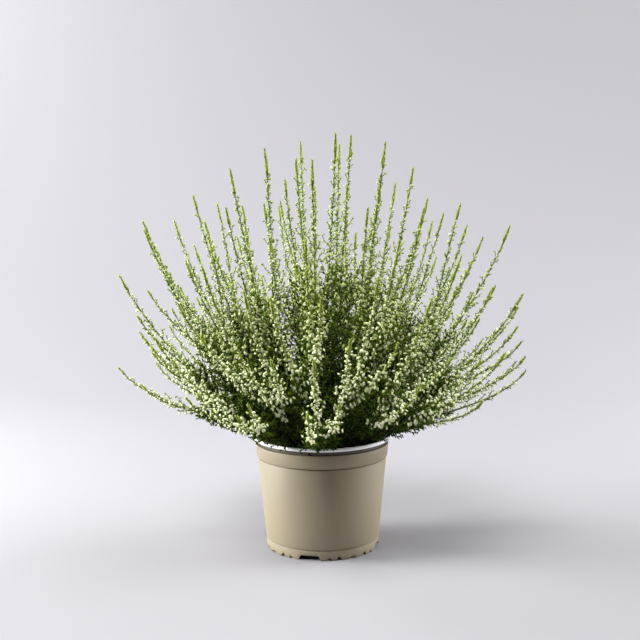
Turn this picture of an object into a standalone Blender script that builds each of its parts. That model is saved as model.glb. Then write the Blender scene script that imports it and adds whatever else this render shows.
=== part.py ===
"""A white heather in a nursery pot.

The frame is in metres with +Z up. Its origin is on the floor under the pot's axis, and the side
that is seen first faces -Y. The pot is turned about its axis and cut at its foot. The soil fills it
to just under the rim. Each flowering branch stands in its own hole in the soil and forks twice. Its
stems carry leaf tufts low down, short side racemes above them and buds up to their tips. Short
leafy sprays stand round the outside and lean over the rim.
"""
import math
import random

import bmesh
import bpy
import numpy as np

# Pot: radii and heights of its turned outline
POT_HEIGHT = 0.0990
RIM_RADIUS = 0.0600
RIM_WIDTH = 0.0017
RIM_CHAMFER = 0.0004
LIP_HEIGHT = 0.0031
LIP_PROUD = 0.0011
COLLAR_FOOT_Z = 0.0806
COLLAR_FOOT_RADIUS = 0.0571
STEP_DEPTH = 0.0008
RING_Z = 0.0087
RING_RADIUS = 0.0498
FOOT_TOP_RADIUS = 0.0492
FOOT_RADIUS = 0.0489
WALL = 0.0014
BASE_UNDERSIDE_Z = 0.0055
BASE_TOP_Z = 0.0070
POT_SIDES = 48

# Pot: drain holes in its base, and notches in its foot
DRAIN_HOLES = 6
DRAIN_HOLE_RADIUS = 0.0035
DRAIN_HOLE_SIDES = 8
DRAIN_RING_RADIUS = 0.0340
CENTRE_HOLE_RADIUS = 0.0050
QUARTERS = 4
BIG_NOTCH_AZIMUTH = math.radians(-103.7)
BIG_NOTCH = (0.0197, 0.0152, 0.0040)
ARCH_NOTCH = (0.0034, 0.0020, 0.0012)
TALL_NOTCH = (0.0040, 0.0010, 0.0021)
WIDE_NOTCH = (0.0055, 0.0045, 0.0009)
SMALL_NOTCHES = ((20, ARCH_NOTCH), (30, TALL_NOTCH), (45, WIDE_NOTCH), (60, TALL_NOTCH), (70, ARCH_NOTCH))
NOTCH_DEPTH = 6 * WALL
NOTCH_BELOW = 0.0010

# Soil
FIT_GAP = 0.0003
SOIL_Z = 0.0900
SOIL_SIDES = 48
HOLE_SIDES = 6
HOLE_DEPTH = 0.0150
STALK_RADIUS = 0.0013
HOLE_RADIUS = 0.0020

# Shape of the whole plant: a dome of tips about the crown
BRANCHES = 44
LEADERS_PER_BRANCH = 3
CROWN_Z = 0.0950
DOME_RADIUS = 0.2780
DOME_DROP = 0.0930
DOME_POWER = 1.6
LOWEST_LEAN = math.radians(72)
SPREAD = 0.1760
ROOT_SPREAD = 0.0300
ROOT_POWER = 0.8
STALK_RISE = 0.0015
OUTWARD_BOW = math.radians(20)
FULL_BOW_LEAN = math.radians(25)
LOWEST_START = math.radians(65)
OUT_SHARE = 0.32
UP_SHARE = 0.26
TIP_LEAN_SHARE = 0.50
GOLDEN_ANGLE = math.radians(137.508)
LEADER_SPACING = 0.161
RELAX_STEPS = 60
RELAX_RATE = 0.25
GROUP_PULL = 0.06
LAYOUT_SEED = 7
LEADER_REACH = (0.90, 1.0)
SIDE_REACH = (0.78, 0.96)
FORKS_AT = ((0.16, 0.26), (0.32, 0.42))
FORK_TURN = 1.2
PATH_SAMPLES = 90

# Stems that stand out from the front: azimuth and lean of the tip in degrees, and its reach
SEEN_STEMS = (
    (-117, 21, 1.00),
    (-81, 16, 1.00),
    (-56, 19, 1.00),
    (-95, 36, 0.90),
    (-104, 48, 0.90),
    (-112, 47, 0.90),
    (-90, 48, 0.90),
    (-60, 49, 0.90),
    (-124, 56, 0.90),
    (-83, 56, 0.90),
    (-71, 57, 0.90),
    (-92, 60, 0.90),
    (-56, 61, 0.90),
    (-133, 62, 0.92),
    (-65, 66, 0.90),
)

# Leafy sprays at the rim: a pair gives the value of an upright spray and of one that leans over
SPRAYS = 12
SPRAY_SEED = 40
SPRAY_ROOT_RADIUS = 0.0440
SPRAY_BEND_RADIUS = 0.0520
SPRAY_BEND_Z = (0.1260, 0.1220)
SPRAY_TIP_RADIUS = (0.0680, 0.0860)
SPRAY_TIP_Z = (0.1400, 0.1120)
SPRAY_LEAN = (0.7, 1.0)
SPRAY_TURN = 0.4
SPRAY_TRIES = 9

# Zones along a branch, as fractions of its length, and the distance from ring to ring in each
LEAFY_TO = 0.40
PANICLE_TO = 0.74
RACEME_TO = 0.93
LEAFY_STEP = 0.0235
PANICLE_STEP = 0.0188
RACEME_STEP = 0.0160
SPRAY_STEP = 0.0090
LAST_STEP = 0.0040

# Rings of a stem: body radius, reach of the drawn-out corners, and how far those corners rise
LEAFY_RING = (0.0019, 0.0075, 0.0070)
PANICLE_FOOT_RING = (0.0022, 0.0105, 0.0140)
PANICLE_TOP_RING = (0.0022, 0.0060, 0.0070)
RACEME_FOOT_RING = (0.0020, 0.0044, 0.0025)
RACEME_TOP_RING = (0.0020, 0.0030, 0.0025)
TIP_RING = (0.0012, 0.0018, 0.0005)
SPRAY_FOOT_RING = (0.0018, 0.0060, 0.0040)
SPRAY_TOP_RING = (0.0010, 0.0030, 0.0040)
REACH_VARIES = (0.8, 1.1)
RING_SEED = 100
RING_TWIST = math.radians(14)
CORNERS = 4
CLEARANCE = 0.0004
THINNEST = 0.0011
TIP_RADIUS = 0.0005
SIDE_HINT = (0.3, 0.9, 0.1)

# Colour and roughness of each material
FINISHES = {
    "pot": ("#A69A7B", 0.45),
    "soil": ("#2E241B", 0.95),
    "branch": ("#AFC07E", 0.6),
    "spray": ("#3E5F22", 0.6),
}


def linear(hex_colour):
    """Linear RGB of an sRGB hex colour."""
    channels = [int(hex_colour[i:i + 2], 16) / 255 for i in (1, 3, 5)]
    return [c / 12.92 if c <= 0.04045 else ((c + 0.055) / 1.055) ** 2.4 for c in channels]


def mix(a, b, share):
    """Value part of the way from a to b."""
    return a + (b - a) * share


def finish(obj, kind):
    """Give an object its own material."""
    hex_colour, roughness = FINISHES[kind]
    material = bpy.data.materials.new(obj.name)
    material.use_nodes = True
    shader = material.node_tree.nodes["Principled BSDF"]
    shader.inputs["Base Color"].default_value = (*linear(hex_colour), 1)
    shader.inputs["Roughness"].default_value = roughness
    shader.inputs["Metallic"].default_value = 0.0
    obj.data.materials.clear()
    obj.data.materials.append(material)


def clear_scene():
    """Start from an empty file."""
    for obj in list(bpy.data.objects):
        bpy.data.objects.remove(obj)


def new_collection(name):
    """A collection linked to the scene."""
    collection = bpy.data.collections.new(name)
    bpy.context.scene.collection.children.link(collection)
    return collection


def new_object(name, bm, collection):
    """An object made from a bmesh."""
    mesh = bpy.data.meshes.new(name)
    bm.to_mesh(mesh)
    bm.free()
    obj = bpy.data.objects.new(name, mesh)
    collection.objects.link(obj)
    return obj


def as_cutters(collection):
    """Show a collection's objects as wires and leave them out of the model."""
    for obj in collection.objects:
        obj.hide_render = True
        obj.display_type = "WIRE"


def cut(obj, collection):
    """Cut every object of a collection out of one object."""
    modifier = obj.modifiers.new("cut", "BOOLEAN")
    modifier.operation = "DIFFERENCE"
    modifier.operand_type = "COLLECTION"
    modifier.collection = collection
    modifier.solver = "EXACT"


def join_all(obj, others):
    """Make one closed body of an object and the others, which are removed."""
    if not others:
        return
    joined = new_collection(obj.name + "_parts")
    for other in others:
        bpy.context.scene.collection.objects.unlink(other)
        joined.objects.link(other)
    modifier = obj.modifiers.new("join", "BOOLEAN")
    modifier.operation = "UNION"
    modifier.operand_type = "COLLECTION"
    modifier.collection = joined
    modifier.solver = "EXACT"
    depsgraph = bpy.context.evaluated_depsgraph_get()
    depsgraph.update()
    mesh = bpy.data.meshes.new_from_object(obj.evaluated_get(depsgraph))
    obj.modifiers.clear()
    obj.data = mesh
    for other in list(joined.objects):
        bpy.data.objects.remove(other)
    bpy.data.collections.remove(joined)


def pot_outline():
    """The pot's section as (radius, height), down the outside and up the inside."""
    lip_z = POT_HEIGHT - LIP_HEIGHT
    collar_top = RIM_RADIUS - LIP_PROUD
    wall_top = COLLAR_FOOT_RADIUS - STEP_DEPTH
    return [
        (RIM_RADIUS - RIM_WIDTH, POT_HEIGHT),
        (RIM_RADIUS - RIM_CHAMFER, POT_HEIGHT),
        (RIM_RADIUS, POT_HEIGHT - RIM_CHAMFER),
        (RIM_RADIUS, lip_z),
        (collar_top, lip_z - RIM_CHAMFER),
        (COLLAR_FOOT_RADIUS, COLLAR_FOOT_Z),
        (wall_top, COLLAR_FOOT_Z - STEP_DEPTH),
        (RING_RADIUS, RING_Z),
        (FOOT_TOP_RADIUS, RING_Z - STEP_DEPTH / 2),
        (FOOT_RADIUS, 0.0),
        (FOOT_RADIUS - WALL, 0.0),
        (FOOT_RADIUS - WALL / 2, BASE_UNDERSIDE_Z),
        (CENTRE_HOLE_RADIUS, BASE_UNDERSIDE_Z),
        (CENTRE_HOLE_RADIUS, BASE_TOP_Z),
        (inner_wall(BASE_TOP_Z), BASE_TOP_Z),
        (wall_top - WALL, COLLAR_FOOT_Z - STEP_DEPTH),
        (COLLAR_FOOT_RADIUS - WALL, COLLAR_FOOT_Z + WALL),
        (collar_top - WALL, lip_z),
    ]


def inner_wall(z):
    """Radius of the pot's inner wall below its collar."""
    wall_top = COLLAR_FOOT_RADIUS - STEP_DEPTH
    slope = (wall_top - RING_RADIUS) / (COLLAR_FOOT_Z - STEP_DEPTH - RING_Z)
    return wall_top - WALL + slope * (z - COLLAR_FOOT_Z + STEP_DEPTH)


def turned(name, outline, sides, collection):
    """A closed outline turned about Z by a Screw modifier."""
    bm = bmesh.new()
    verts = [bm.verts.new((radius, 0, z)) for radius, z in outline]
    for a, b in zip(verts, verts[1:] + verts[:1]):
        bm.edges.new((a, b))
    obj = new_object(name, bm, collection)
    screw = obj.modifiers.new("turn", "SCREW")
    screw.axis = "Z"
    screw.angle = math.tau
    screw.steps = sides
    screw.render_steps = sides
    screw.use_merge_vertices = True
    screw.merge_threshold = 0.00001
    return obj


def notch(name, size, azimuth, collection):
    """A cutter for a notch in the foot: wide below, narrower above, set across the foot's ring."""
    wide, narrow, height = size
    bm = bmesh.new()
    bmesh.ops.create_cube(bm, size=1)
    for vert in bm.verts:
        width = narrow if vert.co.z > 0 else wide
        vert.co.x *= NOTCH_DEPTH
        vert.co.y *= width
        vert.co.z = height if vert.co.z > 0 else -NOTCH_BELOW
    obj = new_object(name, bm, collection)
    obj.rotation_euler.z = azimuth
    radius = FOOT_RADIUS - WALL / 2
    obj.location = (radius * math.cos(azimuth), radius * math.sin(azimuth), 0)


def drain_hole(name, azimuth, collection):
    """A cutter for one round hole in the base."""
    middle = (BASE_UNDERSIDE_Z + BASE_TOP_Z) / 2
    bm = bmesh.new()
    bmesh.ops.create_cone(bm, cap_ends=True, segments=DRAIN_HOLE_SIDES, radius1=DRAIN_HOLE_RADIUS,
                          radius2=DRAIN_HOLE_RADIUS, depth=middle)
    obj = new_object(name, bm, collection)
    obj.location = (DRAIN_RING_RADIUS * math.cos(azimuth), DRAIN_RING_RADIUS * math.sin(azimuth), middle)


def build_pot(model):
    """The nursery pot with its lip, collar, notched foot and drained base."""
    pot = turned("pot", pot_outline(), POT_SIDES, model)
    cutters = new_collection("pot_cutters")
    for quarter in range(QUARTERS):
        azimuth = BIG_NOTCH_AZIMUTH + quarter * math.tau / QUARTERS
        notch(f"big_notch_{quarter}", BIG_NOTCH, azimuth, cutters)
        for degrees, size in SMALL_NOTCHES:
            notch(f"small_notch_{quarter}_{degrees}", size, azimuth + math.radians(degrees), cutters)
    for hole in range(DRAIN_HOLES):
        drain_hole(f"drain_hole_{hole}", hole * math.tau / DRAIN_HOLES, cutters)
    as_cutters(cutters)
    cut(pot, cutters)
    finish(pot, "pot")


def build_soil(model, roots):
    """The soil with a plain hole for each stalk."""
    low = BASE_TOP_Z + FIT_GAP
    bm = bmesh.new()
    bmesh.ops.create_cone(bm, cap_ends=True, segments=SOIL_SIDES, radius1=inner_wall(low) - FIT_GAP,
                          radius2=inner_wall(SOIL_Z) - FIT_GAP, depth=SOIL_Z - low)
    bmesh.ops.translate(bm, verts=bm.verts, vec=(0, 0, (SOIL_Z + low) / 2))
    soil = new_object("soil", bm, model)
    cutters = new_collection("soil_cutters")
    for index, (x, y) in enumerate(roots):
        bm = bmesh.new()
        bmesh.ops.create_cone(bm, cap_ends=True, segments=HOLE_SIDES, radius1=HOLE_RADIUS,
                              radius2=HOLE_RADIUS, depth=2 * HOLE_DEPTH)
        hole = new_object(f"stalk_hole_{index}", bm, cutters)
        hole.location = (x, y, SOIL_Z)
    as_cutters(cutters)
    cut(soil, cutters)
    finish(soil, "soil")


def heading(lean, azimuth):
    """Unit vector that leans from the vertical towards an azimuth."""
    return np.array([
        math.sin(lean) * math.cos(azimuth),
        math.sin(lean) * math.sin(azimuth),
        math.cos(lean),
    ])


def disc_lean(rho):
    """Lean of the tip above a spot of the unit disc; equal areas of disc give equal areas of dome."""
    return math.acos(1 - (1 - math.cos(LOWEST_LEAN)) * rho * rho)


def disc_spot(azimuth, lean):
    """Spot of the unit disc below a tip; the inverse of disc_lean."""
    rho = math.sqrt((1 - math.cos(lean)) / (1 - math.cos(LOWEST_LEAN)))
    return np.array([rho * math.cos(azimuth), rho * math.sin(azimuth)])


def seen_spots(spots):
    """Index, spot and reach of the stems that stand out, each in place of the nearest free spot."""
    seen = []
    for azimuth, lean, reach in SEEN_STEMS:
        spot = disc_spot(math.radians(azimuth), math.radians(lean))
        taken = [index for index, _, _ in seen]
        order = np.argsort(np.linalg.norm(spots - spot, axis=1))
        seen.append((next(int(index) for index in order if index not in taken), spot, reach))
    return seen


def leader_spots():
    """Groups of neighbouring spots, spread over the unit disc by pushing close ones apart."""
    rng = random.Random(LAYOUT_SEED)
    spots = []
    for index in range(BRANCHES):
        rho = math.sqrt((index + 0.5) / BRANCHES)
        azimuth = index * GOLDEN_ANGLE
        centre = np.array([rho * math.cos(azimuth), rho * math.sin(azimuth)])
        turn = rng.uniform(0, math.tau)
        for order in range(LEADERS_PER_BRANCH):
            angle = turn + order * math.tau / LEADERS_PER_BRANCH
            spots.append(centre + LEADER_SPACING / 2 * np.array([math.cos(angle), math.sin(angle)]))
    spots = np.array(spots)
    seen = seen_spots(spots)
    for _ in range(RELAX_STEPS):
        apart = spots[:, None] - spots[None]
        distance = np.linalg.norm(apart, axis=2) + np.eye(len(spots))
        push = np.clip(LEADER_SPACING - distance, 0, None) / distance
        groups = spots.reshape(BRANCHES, LEADERS_PER_BRANCH, 2).mean(axis=1)
        pull = GROUP_PULL * (np.repeat(groups, LEADERS_PER_BRANCH, axis=0) - spots)
        spots = spots + RELAX_RATE * (push[:, :, None] * apart).sum(axis=1) + pull
        spots /= np.maximum(1, np.linalg.norm(spots, axis=1))[:, None]
        for index, spot, _ in seen:
            spots[index] = spot
    reaches = {index: reach for index, _, reach in seen}
    return spots.reshape(BRANCHES, LEADERS_PER_BRANCH, 2), reaches


def dome_tips(spots, reaches):
    """Tips over the disc's spots, stretched so that the plant reaches equally far on each side."""
    tips = []
    for (u, v), reach in zip(spots.reshape(-1, 2), reaches):
        lean = disc_lean(math.hypot(u, v))
        radius = DOME_RADIUS - DOME_DROP * (lean / LOWEST_LEAN) ** DOME_POWER
        tips.append(reach * radius * heading(lean, math.atan2(v, u)))
    tips = np.array(tips)
    for axis in (0, 1):
        side = tips[:, axis]
        tips[:, axis] = np.where(side > 0, side * SPREAD / side.max(), side * SPREAD / -side.min())
    return (tips + np.array([0, 0, CROWN_Z])).reshape(BRANCHES, LEADERS_PER_BRANCH, 3)


def first_lean(chord_lean):
    """Lean of a stem as it leaves the soil: past its chord, but never too low to clear the rim."""
    return min(chord_lean + OUTWARD_BOW * min(1, chord_lean / FULL_BOW_LEAN), LOWEST_START)


def bezier(start, bend, end, count):
    """Points along a quadratic curve."""
    t = np.linspace(0, 1, count)[:, None]
    return (1 - t) ** 2 * start + 2 * t * (1 - t) * bend + t ** 2 * end


def rising_curve(start, way, tip):
    """Points along a cubic curve that sets out one way and ends nearly upright."""
    length = np.linalg.norm(tip - start)
    flat = math.hypot(tip[0], tip[1])
    lean = TIP_LEAN_SHARE * math.atan2(flat, tip[2] - CROWN_Z)
    out = start + OUT_SHARE * length * way
    up = tip - UP_SHARE * length * heading(lean, math.atan2(tip[1], tip[0]))
    t = np.linspace(0, 1, PATH_SAMPLES)[:, None]
    return (1 - t) ** 3 * start + 3 * t * (1 - t) ** 2 * out + 3 * t ** 2 * (1 - t) * up + t ** 3 * tip


def stem_path(root, tip):
    """Path of a leader from just above the soil to its tip: out first, then upward."""
    chord = tip - root
    lean = math.acos(chord[2] / np.linalg.norm(chord))
    return rising_curve(root, heading(first_lean(lean), math.atan2(chord[1], chord[0])), tip)


def forked_path(main, fork, tip):
    """Path of a side stem that leaves a leader at a fraction of its length."""
    at = int(fork * PATH_SAMPLES)
    start = main[at]
    along = main[at + 1] - main[at]
    chord = tip - start
    way = mix(along / np.linalg.norm(along), chord / np.linalg.norm(chord), FORK_TURN)
    return rising_curve(start, way, tip)


def plan_branches():
    """Root and leader paths of every branch."""
    spots, seen_reaches = leader_spots()
    rng = random.Random(LAYOUT_SEED + 1)
    reaches = []
    for _ in range(BRANCHES):
        reaches.append(rng.uniform(*LEADER_REACH))
        reaches += [rng.uniform(*SIDE_REACH) for _ in FORKS_AT]
    for index, reach in seen_reaches.items():
        reaches[index] = reach
    tips = dome_tips(spots, reaches)
    branches = []
    for group, group_tips in zip(spots, tips):
        u, v = group.mean(axis=0)
        rho = math.hypot(u, v)
        azimuth = math.atan2(v, u)
        radius = ROOT_SPREAD * rho ** ROOT_POWER
        root = np.array([radius * math.cos(azimuth), radius * math.sin(azimuth), SOIL_Z + STALK_RISE])
        main = stem_path(root, group_tips[0])
        stems = [(0.0, main)]
        for tip, span in zip(group_tips[1:], FORKS_AT):
            fork = rng.uniform(*span)
            stems.append((fork, forked_path(main, fork, tip)))
        branches.append({"root": root, "stems": stems})
    return branches


def pot_room(points):
    """Distance from points to the pot's wall and rim."""
    radius = np.linalg.norm(points[:, :2], axis=1)
    inner = RIM_RADIUS - RIM_WIDTH - WALL
    beside = np.maximum(0, np.maximum(inner - radius, radius - RIM_RADIUS))
    above = np.maximum(0, points[:, 2] - POT_HEIGHT)
    inside = np.where(radius < inner, inner - radius, 0)
    return np.where(above > 0, np.hypot(beside, above), inside)


def rim_room(path, points):
    """Least distance to the pot along a path, within one ring's step of each point."""
    room = pot_room(path)
    near = np.linalg.norm(path[None] - points[:, None], axis=2) < LEAFY_STEP
    return np.where(near, room[None], np.inf).min(axis=1)


def all_paths(branches):
    """The path of every stem of every branch."""
    return [path for branch in branches for _, path in branch["stems"]]


def gap_to_others(path, others):
    """Distance from each point of a path to the nearest point of the other paths."""
    cloud = np.concatenate(others)
    return np.array([np.linalg.norm(cloud - point, axis=1).min() for point in path])


def ring_between(foot, top, share):
    """A ring's three sizes part of the way from one ring to another."""
    return [mix(low, high, share) for low, high in zip(foot, top)]


def branch_ring(share):
    """Sizes of the ring at a fraction of a branch."""
    if share < LEAFY_TO:
        return LEAFY_RING
    if share < PANICLE_TO:
        along = (share - LEAFY_TO) / (PANICLE_TO - LEAFY_TO)
        return ring_between(PANICLE_FOOT_RING, PANICLE_TOP_RING, along)
    if share < RACEME_TO:
        along = (share - PANICLE_TO) / (RACEME_TO - PANICLE_TO)
        return ring_between(RACEME_FOOT_RING, RACEME_TOP_RING, along)
    return TIP_RING


def spray_ring(share):
    """Sizes of the ring at a fraction of a leafy spray."""
    return ring_between(SPRAY_FOOT_RING, SPRAY_TOP_RING, share)


def branch_step(share):
    """Distance to the next ring at a fraction of a branch."""
    if share < LEAFY_TO:
        return LEAFY_STEP
    return PANICLE_STEP if share < PANICLE_TO else RACEME_STEP


def stations(path, first_share, step_at):
    """Points along a path with their fraction of the whole stem."""
    steps = np.linalg.norm(np.diff(path, axis=0), axis=1)
    along = np.concatenate([[0], np.cumsum(steps)])
    length = along[-1]
    whole = length / (1 - first_share)
    distance = 0.0
    places = []
    while distance < length - LAST_STEP:
        share = first_share + distance / whole
        places.append((distance, share))
        distance += step_at(share)
    places.append((length, 1.0))
    distances = [place[0] for place in places]
    points = np.stack([np.interp(distances, along, path[:, axis]) for axis in range(3)], axis=1)
    return points, [place[1] for place in places]


def ring_frames(points):
    """A pair of side directions at each point, carried along without spin."""
    tangents = np.gradient(points, axis=0)
    tangents /= np.linalg.norm(tangents, axis=1)[:, None]
    side = np.cross(tangents[0], SIDE_HINT)
    frames = []
    for tangent in tangents:
        side = side - tangent * side.dot(tangent)
        side /= np.linalg.norm(side)
        frames.append((tangent, side, np.cross(tangent, side)))
    return frames


def budded_stem(name, points, shares, room, ring_at, rng):
    """A closed loft of four-cornered rings whose alternate corners are drawn out and up.

    Diagonals join the corners that stay in, so that each drawn-out corner stands free as a bud, a
    leaf tuft or a short side raceme.
    """
    rows = []
    frames = ring_frames(points)
    for level, (point, share) in enumerate(zip(points, shares)):
        tangent, side, other = frames[level]
        body, reach, lift = ring_at(share)
        limit = max(THINNEST, room[level])
        last = level in (0, len(points) - 1)
        row = []
        for corner in range(CORNERS):
            turn = corner * math.tau / CORNERS + level * RING_TWIST
            outward = math.cos(turn) * side + math.sin(turn) * other
            drawn = (level + corner) % 2 == 0 and not last
            radius = min(limit, reach * rng.uniform(*REACH_VARIES) if drawn else body)
            rise = lift * radius / reach if drawn else 0
            if last:
                radius = TIP_RADIUS if level else THINNEST
            row.append(point + radius * outward + rise * tangent)
        rows.append(row)
    bm = bmesh.new()
    verts = [[bm.verts.new(corner) for corner in row] for row in rows]
    bm.faces.new(reversed(verts[0]))
    bm.faces.new(verts[-1])
    for level, (low, high) in enumerate(zip(verts, verts[1:])):
        for corner in range(CORNERS):
            a, b = low[corner], low[(corner + 1) % CORNERS]
            d, c = high[corner], high[(corner + 1) % CORNERS]
            if (level + corner) % 2 == 0:
                bm.faces.new((a, b, d))
                bm.faces.new((b, c, d))
            else:
                bm.faces.new((a, b, c))
                bm.faces.new((a, c, d))
    return new_object(name, bm, bpy.context.scene.collection)


def with_stalk(points, shares, room):
    """Add the upright stalk that stands in the soil under a stem's first point."""
    foot = points[0] - np.array([0, 0, HOLE_DEPTH - FIT_GAP])
    above = points[0]
    points = np.concatenate([[foot, above], points[1:]])
    return points, [0.0, 0.0] + shares[1:], np.concatenate([[THINNEST, STALK_RADIUS], room[1:]])


def build_branches(model, branches, sprays):
    """One body for each branch: its leader and the stems that fork from it."""
    everything = all_paths(branches) + sprays
    for index, branch in enumerate(branches):
        rng = random.Random(RING_SEED + index)
        stems = []
        for order, (fork, path) in enumerate(branch["stems"]):
            others = [other for other in everything if other is not path]
            points, shares = stations(path, fork, branch_step)
            room = gap_to_others(points, others) / 2 - CLEARANCE
            room = np.minimum(room, rim_room(path, points) - 2 * CLEARANCE)
            if order == 0:
                points, shares, room = with_stalk(points, shares, room)
            stems.append(budded_stem(f"branch_{index:02d}", points, shares, room, branch_ring, rng))
        leader, *sides = stems
        leader.name = f"branch_{index:02d}"
        bpy.context.scene.collection.objects.unlink(leader)
        model.objects.link(leader)
        join_all(leader, sides)
        finish(leader, "branch")


def spray_path(azimuth, lean_out):
    """Path of a leafy spray: up out of the soil, then over the rim."""
    outward = np.array([math.cos(azimuth), math.sin(azimuth), 0])
    up = np.array([0, 0, 1])
    root = SPRAY_ROOT_RADIUS * outward + (SOIL_Z + STALK_RISE) * up
    bend = SPRAY_BEND_RADIUS * outward + mix(*SPRAY_BEND_Z, lean_out) * up
    tip = mix(*SPRAY_TIP_RADIUS, lean_out) * outward + mix(*SPRAY_TIP_Z, lean_out) * up
    return bezier(root, bend, tip, PATH_SAMPLES // 2)


def plan_sprays(branches):
    """Sprays between the branches, each turned to where it has most room."""
    rng = random.Random(SPRAY_SEED)
    taken = all_paths(branches)
    sprays = []
    for index in range(SPRAYS):
        middle = (index + 0.5) * math.tau / SPRAYS
        lean_out = abs(math.cos(middle)) * rng.uniform(*SPRAY_LEAN)
        tries = np.linspace(-SPRAY_TURN, SPRAY_TURN, SPRAY_TRIES) * math.tau / SPRAYS
        paths = [spray_path(middle + turn, lean_out) for turn in tries]
        sprays.append(max(paths, key=lambda path: gap_to_others(path, taken).min()))
    return sprays


def build_sprays(model, branches, sprays):
    """One body for each leafy spray."""
    everything = all_paths(branches) + sprays
    for index, path in enumerate(sprays):
        others = [other for other in everything if other is not path]
        points, shares = stations(path, 0.0, lambda share: SPRAY_STEP)
        room = gap_to_others(points, others) / 2 - CLEARANCE
        room = np.minimum(room, rim_room(path, points) - 2 * CLEARANCE)
        points, shares, room = with_stalk(points, shares, room)
        rng = random.Random(RING_SEED + len(branches) + index)
        spray = budded_stem(f"leafy_spray_{index:02d}", points, shares, room, spray_ring, rng)
        bpy.context.scene.collection.objects.unlink(spray)
        model.objects.link(spray)
        finish(spray, "spray")


def main():
    """Build the potted heather."""
    clear_scene()
    model = new_collection("potted_heather")
    branches = plan_branches()
    sprays = plan_sprays(branches)
    build_pot(model)
    roots = [branch["root"][:2] for branch in branches] + [path[0][:2] for path in sprays]
    build_soil(model, roots)
    build_branches(model, branches, sprays)
    build_sprays(model, branches, sprays)


main()
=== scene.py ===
"""Looks of a potted heather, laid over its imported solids.

The pot is a moulded nursery pot with a white lining. Peat fills it. Each branch solid is replaced by
woody stems with every leaf, flower bud and side raceme as its own small shape, along the paths that
the solids follow. Geometry Nodes set the leaves, buds and crumbs out.
"""
import logging
import math
import random
from collections.abc import Callable
from dataclasses import dataclass, field
from enum import Enum
from typing import Any

import bmesh
import bpy
import numpy as np
from mathutils import Euler, Matrix, Vector


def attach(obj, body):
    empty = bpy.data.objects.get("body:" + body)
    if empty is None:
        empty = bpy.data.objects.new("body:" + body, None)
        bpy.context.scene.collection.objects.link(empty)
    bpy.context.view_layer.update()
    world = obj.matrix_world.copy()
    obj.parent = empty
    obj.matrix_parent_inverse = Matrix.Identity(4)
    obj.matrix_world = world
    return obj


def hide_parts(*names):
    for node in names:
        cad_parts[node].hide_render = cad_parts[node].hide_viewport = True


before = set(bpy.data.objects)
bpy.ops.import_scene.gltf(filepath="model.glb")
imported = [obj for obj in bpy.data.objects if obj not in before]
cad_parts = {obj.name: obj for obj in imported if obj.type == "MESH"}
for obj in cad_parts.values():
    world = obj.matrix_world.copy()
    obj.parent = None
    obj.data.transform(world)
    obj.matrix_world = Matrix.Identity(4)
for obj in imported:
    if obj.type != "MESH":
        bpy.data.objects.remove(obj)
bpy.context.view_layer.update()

BODY = "root"
MM = 0.001
GOLDEN_ANGLE = math.radians(137.508)
BLACK = "#000000"
WHOLE_RANGE = (0.0, 1.0)
PAST_TIP = 1.1

log = logging.getLogger("potted_heather")

Pair = tuple[float, float]


def linear(hex_colour: str) -> tuple[float, float, float, float]:
    """Turn an sRGB hex colour to linear RGBA.

    Args:
        hex_colour: The colour as "#RRGGBB".

    Returns:
        Its linear red, green and blue, and an alpha of 1.
    """
    channels = [int(hex_colour[i:i + 2], 16) / 255 for i in (1, 3, 5)]
    red, green, blue = [c / 12.92 if c <= 0.04045 else ((c + 0.055) / 1.055) ** 2.4 for c in channels]
    return red, green, blue, 1.0


def add_node(tree: bpy.types.NodeTree, kind: str, inputs: dict[str | int, Any] | None = None,
             **settings: Any) -> bpy.types.Node:
    """Add a node with its settings, values and links.

    Args:
        tree: The node tree that gets the node.
        kind: The node's type.
        inputs: What each input gets, by name or number: a value, or an output socket to link from.
        settings: Properties of the node.

    Returns:
        The new node.
    """
    node = tree.nodes.new(kind)
    for name, value in settings.items():
        setattr(node, name, value)
    for key, value in (inputs or {}).items():
        if isinstance(value, bpy.types.NodeSocket):
            tree.links.new(value, node.inputs[key])
        else:
            node.inputs[key].default_value = value
    return node


def mix(low: Any, high: Any, share: float | np.ndarray) -> Any:
    """Value part of the way from low to high."""
    return low + (high - low) * share


def in_scene(name: str, data: bpy.types.ID) -> bpy.types.Object:
    """Put a new object in the scene.

    Args:
        name: The object's name.
        data: Its mesh, light or camera.

    Returns:
        The object, at the origin.
    """
    obj = bpy.data.objects.new(name, data)
    bpy.context.scene.collection.objects.link(obj)
    return obj


def mesh_object(name: str, bm: bmesh.types.BMesh) -> bpy.types.Object:
    """Put a bmesh in a new object of the scene.

    Args:
        name: The object's name.
        bm: The bmesh, which is freed.

    Returns:
        The object, at the origin.
    """
    mesh = bpy.data.meshes.new(name)
    bm.to_mesh(mesh)
    bm.free()
    return in_scene(name, mesh)


def made_plain(obj: bpy.types.Object) -> bpy.types.Object:
    """Turn an object's evaluated shape into its plain mesh and remove its modifiers.

    Args:
        obj: The object.

    Returns:
        The same object.
    """
    depsgraph = bpy.context.evaluated_depsgraph_get()
    depsgraph.update()
    evaluated = obj.evaluated_get(depsgraph)
    mesh = bpy.data.meshes.new_from_object(evaluated, preserve_all_data_layers=True, depsgraph=depsgraph)
    obj.modifiers.clear()
    old = obj.data
    obj.data = mesh
    bpy.data.meshes.remove(old)
    mesh.name = obj.name
    return obj


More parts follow.
